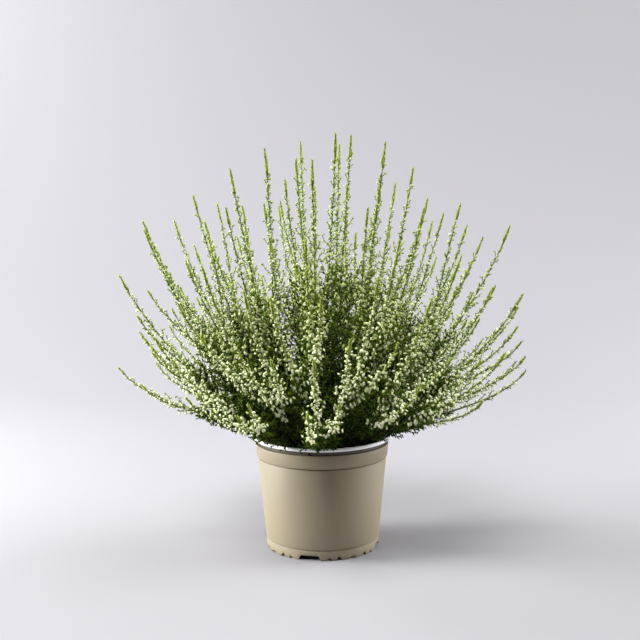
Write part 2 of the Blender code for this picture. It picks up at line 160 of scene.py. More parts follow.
def new_tree(name: str, inputs: dict[str, str]) -> tuple[bpy.types.NodeTree, Any]:
    """Start a Geometry Nodes tree with a geometry input and output.

    Args:
        name: The tree's name.
        inputs: Kind of each further input, such as Float or Object.

    Returns:
        The tree and the sockets that hold its inputs.
    """
    tree = bpy.data.node_groups.new(name, "GeometryNodeTree")
    tree.interface.new_socket("Geometry", in_out="INPUT", socket_type="NodeSocketGeometry")
    for key, kind in inputs.items():
        tree.interface.new_socket(key, in_out="INPUT", socket_type=f"NodeSocket{kind}")
    tree.interface.new_socket("Geometry", in_out="OUTPUT", socket_type="NodeSocketGeometry")
    return tree, add_node(tree, "NodeGroupInput").outputs


def grown(obj: bpy.types.Object, tree: bpy.types.NodeTree, values: dict[str, Any]) -> bpy.types.Object:
    """Run a Geometry Nodes tree on an object and keep the result as its plain mesh.

    Args:
        obj: The object.
        tree: The tree.
        values: What each of the tree's named inputs gets.

    Returns:
        The same object.
    """
    modifier = obj.modifiers.new(tree.name, "NODES")
    modifier.node_group = tree
    for item in tree.interface.items_tree:
        if item.item_type == "SOCKET" and item.in_out == "INPUT" and item.name in values:
            modifier[item.identifier] = values[item.name]
    return made_plain(obj)


def finish_piece(piece: bpy.types.Object, node: str) -> None:
    """Let a piece ride and stand for its solid, and report it.

    Args:
        piece: The piece.
        node: The solid that it stands for.
    """
    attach(piece, BODY)
    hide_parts(node)
    piece.data.calc_loop_triangles()
    log.info("%s: %d triangles", piece.name, len(piece.data.loop_triangles))


# Finishes


@dataclass(frozen=True)
class Finish:
    """What every finish has: how rough it is, and how it mirrors light and lets it through."""

    name: str
    roughness: float
    specular: float = 0.5
    scatter: float = 0.0
    scatter_colour: tuple[float, float, float] = (1.0, 1.0, 1.0)
    scatter_depth: float = 1.0 * MM

    def start(self) -> tuple[bpy.types.Material, bpy.types.NodeTree, bpy.types.Node]:
        """Make the material with the values that are the same all over it.

        Returns:
            The material, its tree and its shader.
        """
        material = bpy.data.materials.new(self.name)
        material.use_nodes = True
        tree = material.node_tree
        shader = tree.nodes["Principled BSDF"]
        constants = {
            "Roughness": self.roughness, "Specular IOR Level": self.specular,
            "Subsurface Weight": self.scatter, "Subsurface Radius": self.scatter_colour,
            "Subsurface Scale": self.scatter_depth,
        }
        for key, value in constants.items():
            shader.inputs[key].default_value = value
        return material, tree, shader

    def layered(self, tree: bpy.types.NodeTree, colour: Any, *layers: tuple[Any, Pair, Any, Any]) -> Any:
        """Lay colours over one another, each where a value has risen through a range.

        Args:
            tree: The material's tree.
            colour: The lowest colour, as hex or a socket.
            layers: For each colour on top, the value's socket, the range, the most of the colour that
                shows, and the colour as hex or a socket.

        Returns:
            The socket of the colour that is seen.
        """
        below = linear(colour) if isinstance(colour, str) else colour
        for value, (start, end), most, over in layers:
            above = linear(over) if isinstance(over, str) else over
            share = add_node(tree, "ShaderNodeMapRange", {0: value, 1: start, 2: end, 4: most}).outputs[0]
            mixed = add_node(tree, "ShaderNodeMix", {0: share, 6: below, 7: above}, data_type="RGBA")
            below = mixed.outputs[2]
        return below

    def cover(self, tree: bpy.types.NodeTree, shader: bpy.types.Node, colour: Any,
              relief: Any = None, depth: float = 0.0) -> None:
        """Give the shader its colour, and its relief if it has one.

        Args:
            tree: The material's tree.
            shader: The shader.
            colour: The colour's socket.
            relief: The socket of the relief's height, from 0 to 1.
            depth: The relief's depth in metres.
        """
        tree.links.new(colour, shader.inputs["Base Color"])
        if relief is not None:
            bump = add_node(tree, "ShaderNodeBump", {"Height": relief, "Distance": depth, "Strength": 1.0})
            tree.links.new(bump.outputs["Normal"], shader.inputs["Normal"])


@dataclass(frozen=True)
class MouldedPolypropylene(Finish):
    """Injection-moulded polypropylene: satin, with faint clouds and an orange peel from the mould."""

    # The mould's satin skin spreads each highlight into a soft band down the wall
    roughness: float = 0.56
    colour: str = "#8E846C"
    ior: float = 1.49
    detail: float = 2.0
    # A real orange peel is finer: it is drawn coarser here, or it wouldn't show
    peel_grain: float = 1.6 * MM
    peel_depth: float = 0.012 * MM
    cloud_grain: float = 30 * MM
    cloud_shade: float = 0.05
    sheen_grain: float = 7.5 * MM
    sheen_range: Pair = (0.3, 0.7)
    sheen_varies: float = 0.04
    # Heights of the band under the lip that is painted darker: painted shade that stands in for the
    # undercut's shadow
    shade_band: Pair | None = None
    shade_band_edge: float = 0.4 * MM
    # Colour of the painted shade in the groove under the lip, and the most of it that shows
    painted_shade: str = "#3A342B"
    painted_shade_share: float = 0.75

    def build(self) -> bpy.types.Material:
        """Make the material, with painted shade in the groove under the lip if it has one.

        Returns:
            The material.
        """
        material, tree, shader = self.start()
        shader.inputs["IOR"].default_value = self.ior
        place = add_node(tree, "ShaderNodeTexCoord").outputs["Object"]
        cloud, sheen, peel = [
            add_node(tree, "ShaderNodeTexNoise",
                     {"Vector": place, "Scale": 1 / grain, "Detail": self.detail}).outputs[0]
            for grain in (self.cloud_grain, self.sheen_grain, self.peel_grain)
        ]
        layers = [(cloud, (1.0, 0.0), self.cloud_shade, BLACK)]
        # Painted shade: the band under the lip is darkened, in place of the undercut's shadow
        if self.shade_band:
            low, high = self.shade_band
            height = add_node(tree, "ShaderNodeSeparateXYZ", {0: place}).outputs[2]
            above = add_node(tree, "ShaderNodeMapRange", {0: height, 1: low, 2: low + self.shade_band_edge})
            inside = add_node(tree, "ShaderNodeMapRange", {
                0: height, 1: high - self.shade_band_edge, 2: high, 3: above.outputs[0], 4: 0.0,
            })
            layers.append((inside.outputs[0], WHOLE_RANGE, self.painted_shade_share, self.painted_shade))
        rough = add_node(tree, "ShaderNodeMapRange", {
            0: sheen, 1: self.sheen_range[0], 2: self.sheen_range[1],
            3: self.roughness - self.sheen_varies, 4: self.roughness + self.sheen_varies,
        })
        tree.links.new(rough.outputs[0], shader.inputs["Roughness"])
        self.cover(tree, shader, self.layered(tree, self.colour, *layers), peel, self.peel_depth)
        return material


@dataclass(frozen=True)
class Peat(Finish):
    """Sphagnum peat: matt, nearly black when damp, with paler brown fibres."""

    # Damp peat is all but black, so the gaps between the stems look deep
    name: str = "sphagnum_peat"
    roughness: float = 0.95
    specular: float = 0.2
    detail: float = 4.0
    damp: str = "#17110C"
    dry: str = "#4A3826"
    fibre_grain: float = 2.2 * MM
    fibre_range: Pair = (0.42, 0.68)
    lump_grain: float = 1.1 * MM
    lump_depth: float = 0.5 * MM

    def build(self) -> bpy.types.Material:
        """Make the material.

        Returns:
            The material.
        """
        material, tree, shader = self.start()
        place = add_node(tree, "ShaderNodeTexCoord").outputs["Object"]
        fibres, lumps = [
            add_node(tree, "ShaderNodeTexNoise",
                     {"Vector": place, "Scale": 1 / grain, "Detail": self.detail}).outputs[0]
            for grain in (self.fibre_grain, self.lump_grain)
        ]
        colour = self.layered(tree, self.damp, (fibres, self.fibre_range, 1.0, self.dry))
        self.cover(tree, shader, colour, lumps, self.lump_depth)
        return material


@dataclass(frozen=True)
class HeatherBark(Finish):
    """Young heather wood: brown and woody at the foot, fresh green where it is still soft."""

    # Thin bark has next to no shine: it shows by its colour, which turns to green up the stem
    name: str = "heather_bark"
    roughness: float = 0.65
    specular: float = 0.15
    detail: float = 2.0
    woody: str = "#4A3A20"
    green: str = "#637A28"
    green_from: Pair = (0.12, 0.5)
    # Real splits are finer: they are drawn coarser here, or they wouldn't show
    split_grain: float = 1.0 * MM
    split_depth: float = 0.1 * MM
    split_range: Pair = (0.7, 0.3)
    split_shade: float = 0.25

    def build(self) -> bpy.types.Material:
        """Make the material.

        Returns:
            The material.
        """
        material, tree, shader = self.start()
        along = add_node(tree, "ShaderNodeAttribute", attribute_name="along").outputs["Fac"]
        place = add_node(tree, "ShaderNodeTexCoord").outputs["Object"]
        splits = add_node(tree, "ShaderNodeTexNoise", {
            "Vector": place, "Scale": 1 / self.split_grain, "Detail": self.detail,
        }).outputs[0]
        colour = self.layered(tree, self.woody, (along, self.green_from, 1.0, self.green),
                              (splits, self.split_range, self.split_shade, BLACK))
        self.cover(tree, shader, colour, splits, self.split_depth)
        return material


@dataclass(frozen=True)
class HeatherLeaf(Finish):
    """Scale leaves: waxy and dark green low down, yellow-green on the growing tips."""

    # Wax gives a weak sheen, and the thin leaves let a little green light through
    name: str = "heather_leaf"
    roughness: float = 0.6
    specular: float = 0.08
    scatter: float = 0.08
    scatter_colour: tuple[float, float, float] = (0.3, 1.0, 0.1)
    scatter_depth: float = 0.4 * MM
    old: str = "#071603"
    grown: str = "#2C4A02"
    young: str = "#718212"
    shoot: str = "#82903A"
    tip: str = "#A8B357"
    young_from: Pair = (0.3, 0.85)
    shoot_from: Pair = (0.8, 1.0)
    tip_from: Pair = (0.4, 1.0)
    pale_from: Pair = (0.3, 1.0)
    pale_share: Pair = (0.12, 0.5)

    def build(self) -> bpy.types.Material:
        """Make the material.

        Returns:
            The material.
        """
        material, tree, shader = self.start()
        along, tint, height = [add_node(tree, "ShaderNodeAttribute", attribute_name=name).outputs["Fac"]
                               for name in ("along", "tint", "height")]
        low = self.layered(tree, self.old, (tint, WHOLE_RANGE, 1.0, self.grown))
        high = self.layered(tree, self.grown, (tint, WHOLE_RANGE, 1.0, self.young))
        (start, end), (least, most) = self.pale_from, self.pale_share
        pale = add_node(tree, "ShaderNodeMapRange", {0: along, 1: start, 2: end, 3: least, 4: most})
        colour = self.layered(tree, low, (along, self.young_from, 1.0, high),
                              (along, self.shoot_from, 1.0, self.shoot),
                              (height, self.tip_from, pale.outputs[0], self.tip))
        self.cover(tree, shader, colour)
        return material


@dataclass(frozen=True)
class HeatherBud(Finish):
    """Closed flower buds: papery cream sepals over a green calyx, greener while they are small."""

    # Light scatters in the papery sepals, so the buds look soft and creamy
    name: str = "heather_bud"
    roughness: float = 0.5
    specular: float = 0.2
    scatter: float = 0.1
    scatter_colour: tuple[float, float, float] = (0.8, 1.0, 0.5)
    scatter_depth: float = 0.6 * MM
    calyx: str = "#7F9630"
    sepal: str = "#F8FBD0"
    green_sepal: str = "#96A25C"
    point: str = "#E6EAB4"
    sepal_from: Pair = (0.0, 0.2)
    point_from: Pair = (0.8, 1.0)
    point_share: float = 0.6
    bloom_varies: float = 0.25

    def build(self) -> bpy.types.Material:
        """Make the material.

        Returns:
            The material.
        """
        material, tree, shader = self.start()
        bloom, tint, height = [add_node(tree, "ShaderNodeAttribute", attribute_name=name).outputs["Fac"]
                               for name in ("bloom", "tint", "height")]
        stray = add_node(tree, "ShaderNodeMapRange", {0: tint, 3: -self.bloom_varies, 4: self.bloom_varies})
        ripe = add_node(tree, "ShaderNodeMath", {0: bloom, 1: stray.outputs[0]}, operation="ADD",
                        use_clamp=True)
        sepal = self.layered(tree, self.green_sepal, (ripe.outputs[0], WHOLE_RANGE, 1.0, self.sepal))
        colour = self.layered(tree, self.calyx, (height, self.sepal_from, 1.0, sepal),
                              (height, self.point_from, self.point_share, self.point))
        self.cover(tree, shader, colour)
        return material


@dataclass(frozen=True)
class StudioPaper(Finish):
    """Seamless studio paper: plain, pale and matt."""

    # Matt paper has no highlight, so the floor and the walls run into one another
    name: str = "studio_paper"
    roughness: float = 0.9
    specular: float = 0.1
    colour: str = "#8F8E92"

    def build(self) -> bpy.types.Material:
        """Make the material.

        Returns:
            The material.
        """
        material, _, shader = self.start()
        shader.inputs["Base Color"].default_value = linear(self.colour)
        return material


# Where everything grows


def heading(lean: float, azimuth: float) -> np.ndarray:
    """Unit vector that leans from the vertical towards an azimuth."""
    flat = math.sin(lean)
    return np.array([flat * math.cos(azimuth), flat * math.sin(azimuth), math.cos(lean)])


def bezier(start: np.ndarray, bend: np.ndarray, end: np.ndarray, count: int) -> np.ndarray:
    """Points along a quadratic curve.

    Args:
        start: First point.
        bend: Control point.
        end: Last point.
        count: How many points.

    Returns:
        One row for each point.
    """
    t = np.linspace(0, 1, count)[:, None]
    return (1 - t) ** 2 * start + 2 * t * (1 - t) * bend + t ** 2 * end


def gap_to_others(path: np.ndarray, others: list[np.ndarray]) -> np.ndarray:
    """Distance from each point of a path to the nearest point of other paths.

    Args:
        path: The path's points.
        others: The other paths.

    Returns:
        One distance for each point.
    """
    cloud = np.concatenate(others)
    return np.array([np.linalg.norm(cloud - point, axis=1).min() for point in path])


@dataclass
class Stem:
    """One stem: its path, the share of a whole stem at which it starts, and its flowers' age."""

    path: np.ndarray
    start: float
    bloom: float


@dataclass
class HeatherPlan:
    """Roots and paths of every stem, by the same formulas and seeds as the solids."""

    branches: int = 44
    stems_per_branch: int = 3
    crown_z: float = 95 * MM
    soil_z: float = 90 * MM
    dome_radius: float = 278 * MM
    dome_drop: float = 93 * MM
    dome_power: float = 1.6
    lowest_lean: float = math.radians(72)
    spread: float = 176 * MM
    root_spread: float = 30 * MM
    root_power: float = 0.8
    stalk_rise: float = 1.5 * MM
    outward_bow: float = math.radians(20)
    full_bow_lean: float = math.radians(25)
    lowest_start: float = math.radians(65)
    out_share: float = 0.32
    up_share: float = 0.26
    tip_lean_share: float = 0.50
    leader_spacing: float = 0.161
    relax_steps: int = 60
    relax_rate: float = 0.25
    group_pull: float = 0.06
    layout_seed: int = 7
    leader_reach: Pair = (0.90, 1.0)
    side_reach: Pair = (0.78, 0.96)
    forks_at: tuple[Pair, ...] = ((0.16, 0.26), (0.32, 0.42))
    fork_turn: float = 1.2
    samples: int = 90
    # Azimuth and lean in degrees, and share of the dome's radius, of the stems that stand out in front
    seen_stems: tuple[tuple[float, float, float], ...] = (
        (-117, 21, 1.00), (-81, 16, 1.00), (-56, 19, 1.00), (-95, 36, 0.90), (-104, 48, 0.90),
        (-112, 47, 0.90), (-90, 48, 0.90), (-60, 49, 0.90), (-124, 56, 0.90), (-83, 56, 0.90),
        (-71, 57, 0.90), (-92, 60, 0.90), (-56, 61, 0.90), (-133, 62, 0.92), (-65, 66, 0.90),
    )
    sprays: int = 12
    spray_root_radius: float = 44 * MM
    spray_bend_radius: float = 52 * MM
    spray_bend_z: Pair = (126 * MM, 122 * MM)
    spray_tip_radius: Pair = (68 * MM, 86 * MM)
    spray_tip_z: Pair = (140 * MM, 112 * MM)
    spray_lean: Pair = (0.7, 1.0)
    spray_turn: float = 0.4
    spray_tries: int = 9
    spray_seed: int = 40
    full_height: float = 260 * MM
    lowest_bloom: float = 1.25
    bloom_fall: float = 1.1
    bloom_varies: float = 0.15

    def disc_lean(self, rho: float) -> float:
        """Lean of the tip above a spot of the unit disc."""
        return math.acos(1 - (1 - math.cos(self.lowest_lean)) * rho * rho)

    def disc_spot(self, azimuth: float, lean: float) -> np.ndarray:
        """Spot of the unit disc below a tip."""
        rho = math.sqrt((1 - math.cos(lean)) / (1 - math.cos(self.lowest_lean)))
        return np.array([rho * math.cos(azimuth), rho * math.sin(azimuth)])

    def seen_spots(self, spots: np.ndarray) -> list[tuple[int, np.ndarray, float]]:
        """Give each stem that stands out from the front the nearest free spot.

        Args:
            spots: Every stem's spot.

        Returns:
            Index, new spot and reach of each such stem.
        """
        seen: list[tuple[int, np.ndarray, float]] = []
        for azimuth, lean, reach in self.seen_stems:
            spot = self.disc_spot(math.radians(azimuth), math.radians(lean))
            taken = [index for index, _, _ in seen]
            order = np.argsort(np.linalg.norm(spots - spot, axis=1))
            seen.append((next(int(index) for index in order if index not in taken), spot, reach))
        return seen

    def leader_spots(self) -> tuple[np.ndarray, dict[int, float]]:
        """Spread groups of neighbouring spots over the unit disc by pushing close ones apart.

        Returns:
            The spots by branch and stem, and the reach of the stems that stand out.
        """
        rng = random.Random(self.layout_seed)
        placed = []
        for index in range(self.branches):
            rho = math.sqrt((index + 0.5) / self.branches)
            azimuth = index * GOLDEN_ANGLE
            centre = np.array([rho * math.cos(azimuth), rho * math.sin(azimuth)])
            turn = rng.uniform(0, math.tau)
            for order in range(self.stems_per_branch):
                angle = turn + order * math.tau / self.stems_per_branch
                placed.append(centre + self.leader_spacing / 2 * np.array([math.cos(angle), math.sin(angle)]))
        spots = np.array(placed)
        seen = self.seen_spots(spots)
        for _ in range(self.relax_steps):
            apart = spots[:, None] - spots[None]
            distance = np.linalg.norm(apart, axis=2) + np.eye(len(spots))
            push = np.clip(self.leader_spacing - distance, 0, None) / distance
            groups = spots.reshape(self.branches, self.stems_per_branch, 2).mean(axis=1)
            pull = self.group_pull * (np.repeat(groups, self.stems_per_branch, axis=0) - spots)
            spots = spots + self.relax_rate * (push[:, :, None] * apart).sum(axis=1) + pull
            spots /= np.maximum(1, np.linalg.norm(spots, axis=1))[:, None]
            for index, spot, _ in seen:
                spots[index] = spot
        reaches = {index: reach for index, _, reach in seen}
        return spots.reshape(self.branches, self.stems_per_branch, 2), reaches

    def dome_tips(self, spots: np.ndarray, reaches: list[float]) -> np.ndarray:
        """Put each tip on the dome, stretched so that the plant reaches equally far on each side.

        Args:
            spots: The disc's spots, by branch and stem.
            reaches: Share of the dome's radius for each stem.

        Returns:
            The tips, by branch and stem.
        """
        made = []
        for (u, v), reach in zip(spots.reshape(-1, 2), reaches):
            lean = self.disc_lean(math.hypot(u, v))
            radius = self.dome_radius - self.dome_drop * (lean / self.lowest_lean) ** self.dome_power
            made.append(reach * radius * heading(lean, math.atan2(v, u)))
        tips = np.array(made)
        for axis in (0, 1):
            side = tips[:, axis]
            ahead, behind = side * self.spread / side.max(), side * self.spread / -side.min()
            tips[:, axis] = np.where(side > 0, ahead, behind)
        return (tips + np.array([0, 0, self.crown_z])).reshape(self.branches, self.stems_per_branch, 3)

    def rising_curve(self, start: np.ndarray, way: np.ndarray, tip: np.ndarray) -> np.ndarray:
        """Lay a cubic curve that sets out one way and ends nearly upright.

        Args:
            start: First point.
            way: Direction in which it sets out.
            tip: Last point.

        Returns:
            The curve's points.
        """
        length = np.linalg.norm(tip - start)
        lean = self.tip_lean_share * math.atan2(math.hypot(tip[0], tip[1]), tip[2] - self.crown_z)
        out = start + self.out_share * length * way
        up = tip - self.up_share * length * heading(lean, math.atan2(tip[1], tip[0]))
        t = np.linspace(0, 1, self.samples)[:, None]
        return (1 - t) ** 3 * start + 3 * t * (1 - t) ** 2 * out + 3 * t ** 2 * (1 - t) * up + t ** 3 * tip

    def stem_path(self, root: np.ndarray, tip: np.ndarray) -> np.ndarray:
        """Lead a leader out from just above the soil, and then up to its tip.

        Args:
            root: Where it leaves the soil.
            tip: Its tip.

        Returns:
            The path's points.
        """
        chord = tip - root
        lean = math.acos(chord[2] / np.linalg.norm(chord))
        start = min(lean + self.outward_bow * min(1, lean / self.full_bow_lean), self.lowest_start)
        return self.rising_curve(root, heading(start, math.atan2(chord[1], chord[0])), tip)

    def forked_path(self, main: np.ndarray, fork: float, tip: np.ndarray) -> np.ndarray:
        """Lead a side stem away from a leader.

        Args:
            main: The leader's path.
            fork: Fraction of the leader's length at which it leaves.
            tip: Its tip.

        Returns:
            The path's points.
        """
        at = int(fork * self.samples)
        start = main[at]
        along = main[at + 1] - main[at]
        chord = tip - start
        way = mix(along / np.linalg.norm(along), chord / np.linalg.norm(chord), self.fork_turn)
        return self.rising_curve(start, way, tip)

    def bloom(self, tip: np.ndarray, rng: random.Random) -> float:
        """How far a stem's buds have whitened: low outer stems most, tall ones least.

        Args:
            tip: The stem's tip.
            rng: Source of chance.

        Returns:
            A share from 0 to 1.
        """
        fall = self.bloom_fall * ((tip[2] - self.crown_z) / self.full_height)
        stray = rng.uniform(-self.bloom_varies, self.bloom_varies)
        return min(1.0, max(0.0, self.lowest_bloom - fall + stray))

    def all_branches(self) -> list[list[Stem]]:
        """Plan every branch.

        Returns:
            The stems of each branch, its leader first.
        """
        spots, seen_reaches = self.leader_spots()
        rng = random.Random(self.layout_seed + 1)
        blooms = random.Random(self.layout_seed + 2)
        reaches: list[float] = []
        for _ in range(self.branches):
            reaches.append(rng.uniform(*self.leader_reach))
            reaches += [rng.uniform(*self.side_reach) for _ in self.forks_at]
        for index, reach in seen_reaches.items():
            reaches[index] = reach
        planned = []
        for group, tips in zip(spots, self.dome_tips(spots, reaches)):
            u, v = group.mean(axis=0)
            radius = self.root_spread * math.hypot(u, v) ** self.root_power
            azimuth = math.atan2(v, u)
            root = np.array([radius * math.cos(azimuth), radius * math.sin(azimuth),
                             self.soil_z + self.stalk_rise])
            main = self.stem_path(root, tips[0])
            stems = [Stem(main, 0.0, self.bloom(tips[0], blooms))]
            for tip, span in zip(tips[1:], self.forks_at):
                fork = rng.uniform(*span)
                stems.append(Stem(self.forked_path(main, fork, tip), fork, self.bloom(tip, blooms)))
            planned.append(stems)
        return planned

    def spray_path(self, azimuth: float, lean_out: float) -> np.ndarray:
        """Lead a leafy spray up out of the soil, then over the rim.

        Args:
            azimuth: Which way it leans.
            lean_out: How far over it leans, from 0 to 1.

        Returns:
            The path's points.
        """
        outward = np.array([math.cos(azimuth), math.sin(azimuth), 0])
        up = np.array([0, 0, 1])
        root = self.spray_root_radius * outward + (self.soil_z + self.stalk_rise) * up
        bend = self.spray_bend_radius * outward + mix(*self.spray_bend_z, lean_out) * up
        tip = mix(*self.spray_tip_radius, lean_out) * outward + mix(*self.spray_tip_z, lean_out) * up
        return bezier(root, bend, tip, self.samples // 2)

    def all_sprays(self, taken: list[np.ndarray]) -> list[Stem]:
        """Plan the sprays between the branches, each turned to where it has most room.

        Args:
            taken: The paths of the branches' stems.

        Returns:
            One stem for each spray.
        """
        rng = random.Random(self.spray_seed)
        planned = []
        for index in range(self.sprays):
            middle = (index + 0.5) * math.tau / self.sprays
            lean_out = abs(math.cos(middle)) * rng.uniform(*self.spray_lean)
            tries = np.linspace(-self.spray_turn, self.spray_turn, self.spray_tries) * math.tau / self.sprays
            paths = [self.spray_path(middle + turn, lean_out) for turn in tries]
            planned.append(Stem(max(paths, key=lambda path: gap_to_others(path, taken).min()), 0.0, 0.0))
        return planned


# Stems, leaves and buds


class Shape(Enum):
    """The small shapes that are set out by the hundred."""

    BUD = "bud"
    LEAF = "leaf"
    CRUMB = "crumb"


@dataclass
class SmallShapes:
    """Unit-long shapes that stand along +Z, with their height kept as an attribute."""

    bud_sides: int = 4
    bud_profile: tuple[Pair, ...] = ((0.09, 0.0), (0.27, 0.40), (0.21, 0.80))
    leaf_sides: int = 3
    leaf_profile: tuple[Pair, ...] = ((0.27, 0.0),)
    crumb_seed: int = 11
    crumb_radius: float = 0.5
    crumb_varies: Pair = (0.7, 1.15)
    crumb_flatness: float = 0.7
    made: dict[Shape, bpy.types.Object] = field(default_factory=dict)

    def spindle(self, shape: Shape, sides: int, profile: tuple[Pair, ...]) -> None:
        """Make a closed pointed spindle.

        Args:
            shape: Which shape it is.
            sides: Sides around.
            profile: Radius and height of each ring, in lengths of the shape.
        """
        bm = bmesh.new()
        rings = []
        for radius, z in profile:
            turns = [math.tau * side / sides for side in range(sides)]
            rings.append([bm.verts.new((radius * math.cos(t), radius * math.sin(t), z)) for t in turns])
        bm.faces.new(list(reversed(rings[0])))
        for low, high in zip(rings, rings[1:]):
            for side in range(sides):
                after = (side + 1) % sides
                bm.faces.new((low[side], low[after], high[after], high[side]))
        tip = bm.verts.new((0, 0, 1))
        for side in range(sides):
            bm.faces.new((rings[-1][side], rings[-1][(side + 1) % sides], tip))
        self.keep(shape, bm)

    def crumb(self) -> None:
        """Make a lump of peat from a small icosphere, pushed about."""
        rng = random.Random(self.crumb_seed)
        bm = bmesh.new()
        bmesh.ops.create_icosphere(bm, subdivisions=1, radius=self.crumb_radius)
        for vert in bm.verts:
            vert.co *= rng.uniform(*self.crumb_varies)
            vert.co.z *= self.crumb_flatness
        self.keep(Shape.CRUMB, bm)

    def keep(self, shape: Shape, bm: bmesh.types.BMesh) -> None:
        """Store a shape's object, smooth and with its height attribute.

        Args:
            shape: Which shape it is.
            bm: Its bmesh.
        """
        for face in bm.faces:
            face.smooth = shape is not Shape.CRUMB
        obj = mesh_object(f"shape_{shape.value}", bm)
        heights = obj.data.attributes.new("height", "FLOAT", "POINT")
        heights.data.foreach_set("value", [vert.co.z for vert in obj.data.vertices])
        self.made[shape] = obj

    def build(self) -> None:
        """Make every shape."""
        self.spindle(Shape.BUD, self.bud_sides, self.bud_profile)
        self.spindle(Shape.LEAF, self.leaf_sides, self.leaf_profile)
        self.crumb()

    def remove(self) -> None:
        """Remove the shapes once everything is set out."""
        for obj in self.made.values():
            bpy.data.objects.remove(obj)
        self.made.clear()


@dataclass
class Lines:
    """Lines that shapes are set out along, with what each point carries."""

    points: list[np.ndarray] = field(default_factory=list)
    values: dict[str, list[np.ndarray]] = field(default_factory=dict)

    def add(self, points: np.ndarray, **values: Any) -> None:
        """Add a line.

        Args:
            points: Its points.
            values: A number for the line, or one for each of its points, by attribute name.
        """
        self.points.append(points)
        for name, value in values.items():
            self.values.setdefault(name, []).append(np.broadcast_to(value, len(points)))

    def to_object(self, name: str) -> bpy.types.Object:
        """Make an object with an edge between neighbouring points.

        Args:
            name: The object's name.

        Returns:
            The object, with an attribute for each value.
        """
        mesh = bpy.data.meshes.new(name)
        edges, start = [], 0
        for line in self.points:
            edges += [(start + i, start + i + 1) for i in range(len(line) - 1)]
            start += len(line)
        mesh.from_pydata(np.concatenate(self.points).tolist(), edges, [])
        for key, parts in self.values.items():
            layer = mesh.attributes.new(key, "FLOAT", "POINT")
            layer.data.foreach_set("value", np.concatenate(parts).astype(np.float32))
        return in_scene(name, mesh)


@dataclass(frozen=True)
class SetOut:
    """How one kind of small shape stands along stems: its steps, its turn and lean, and if it nods."""

    shape: Shape
    spacing: float
    turn: float
    lean: float
    nods: float


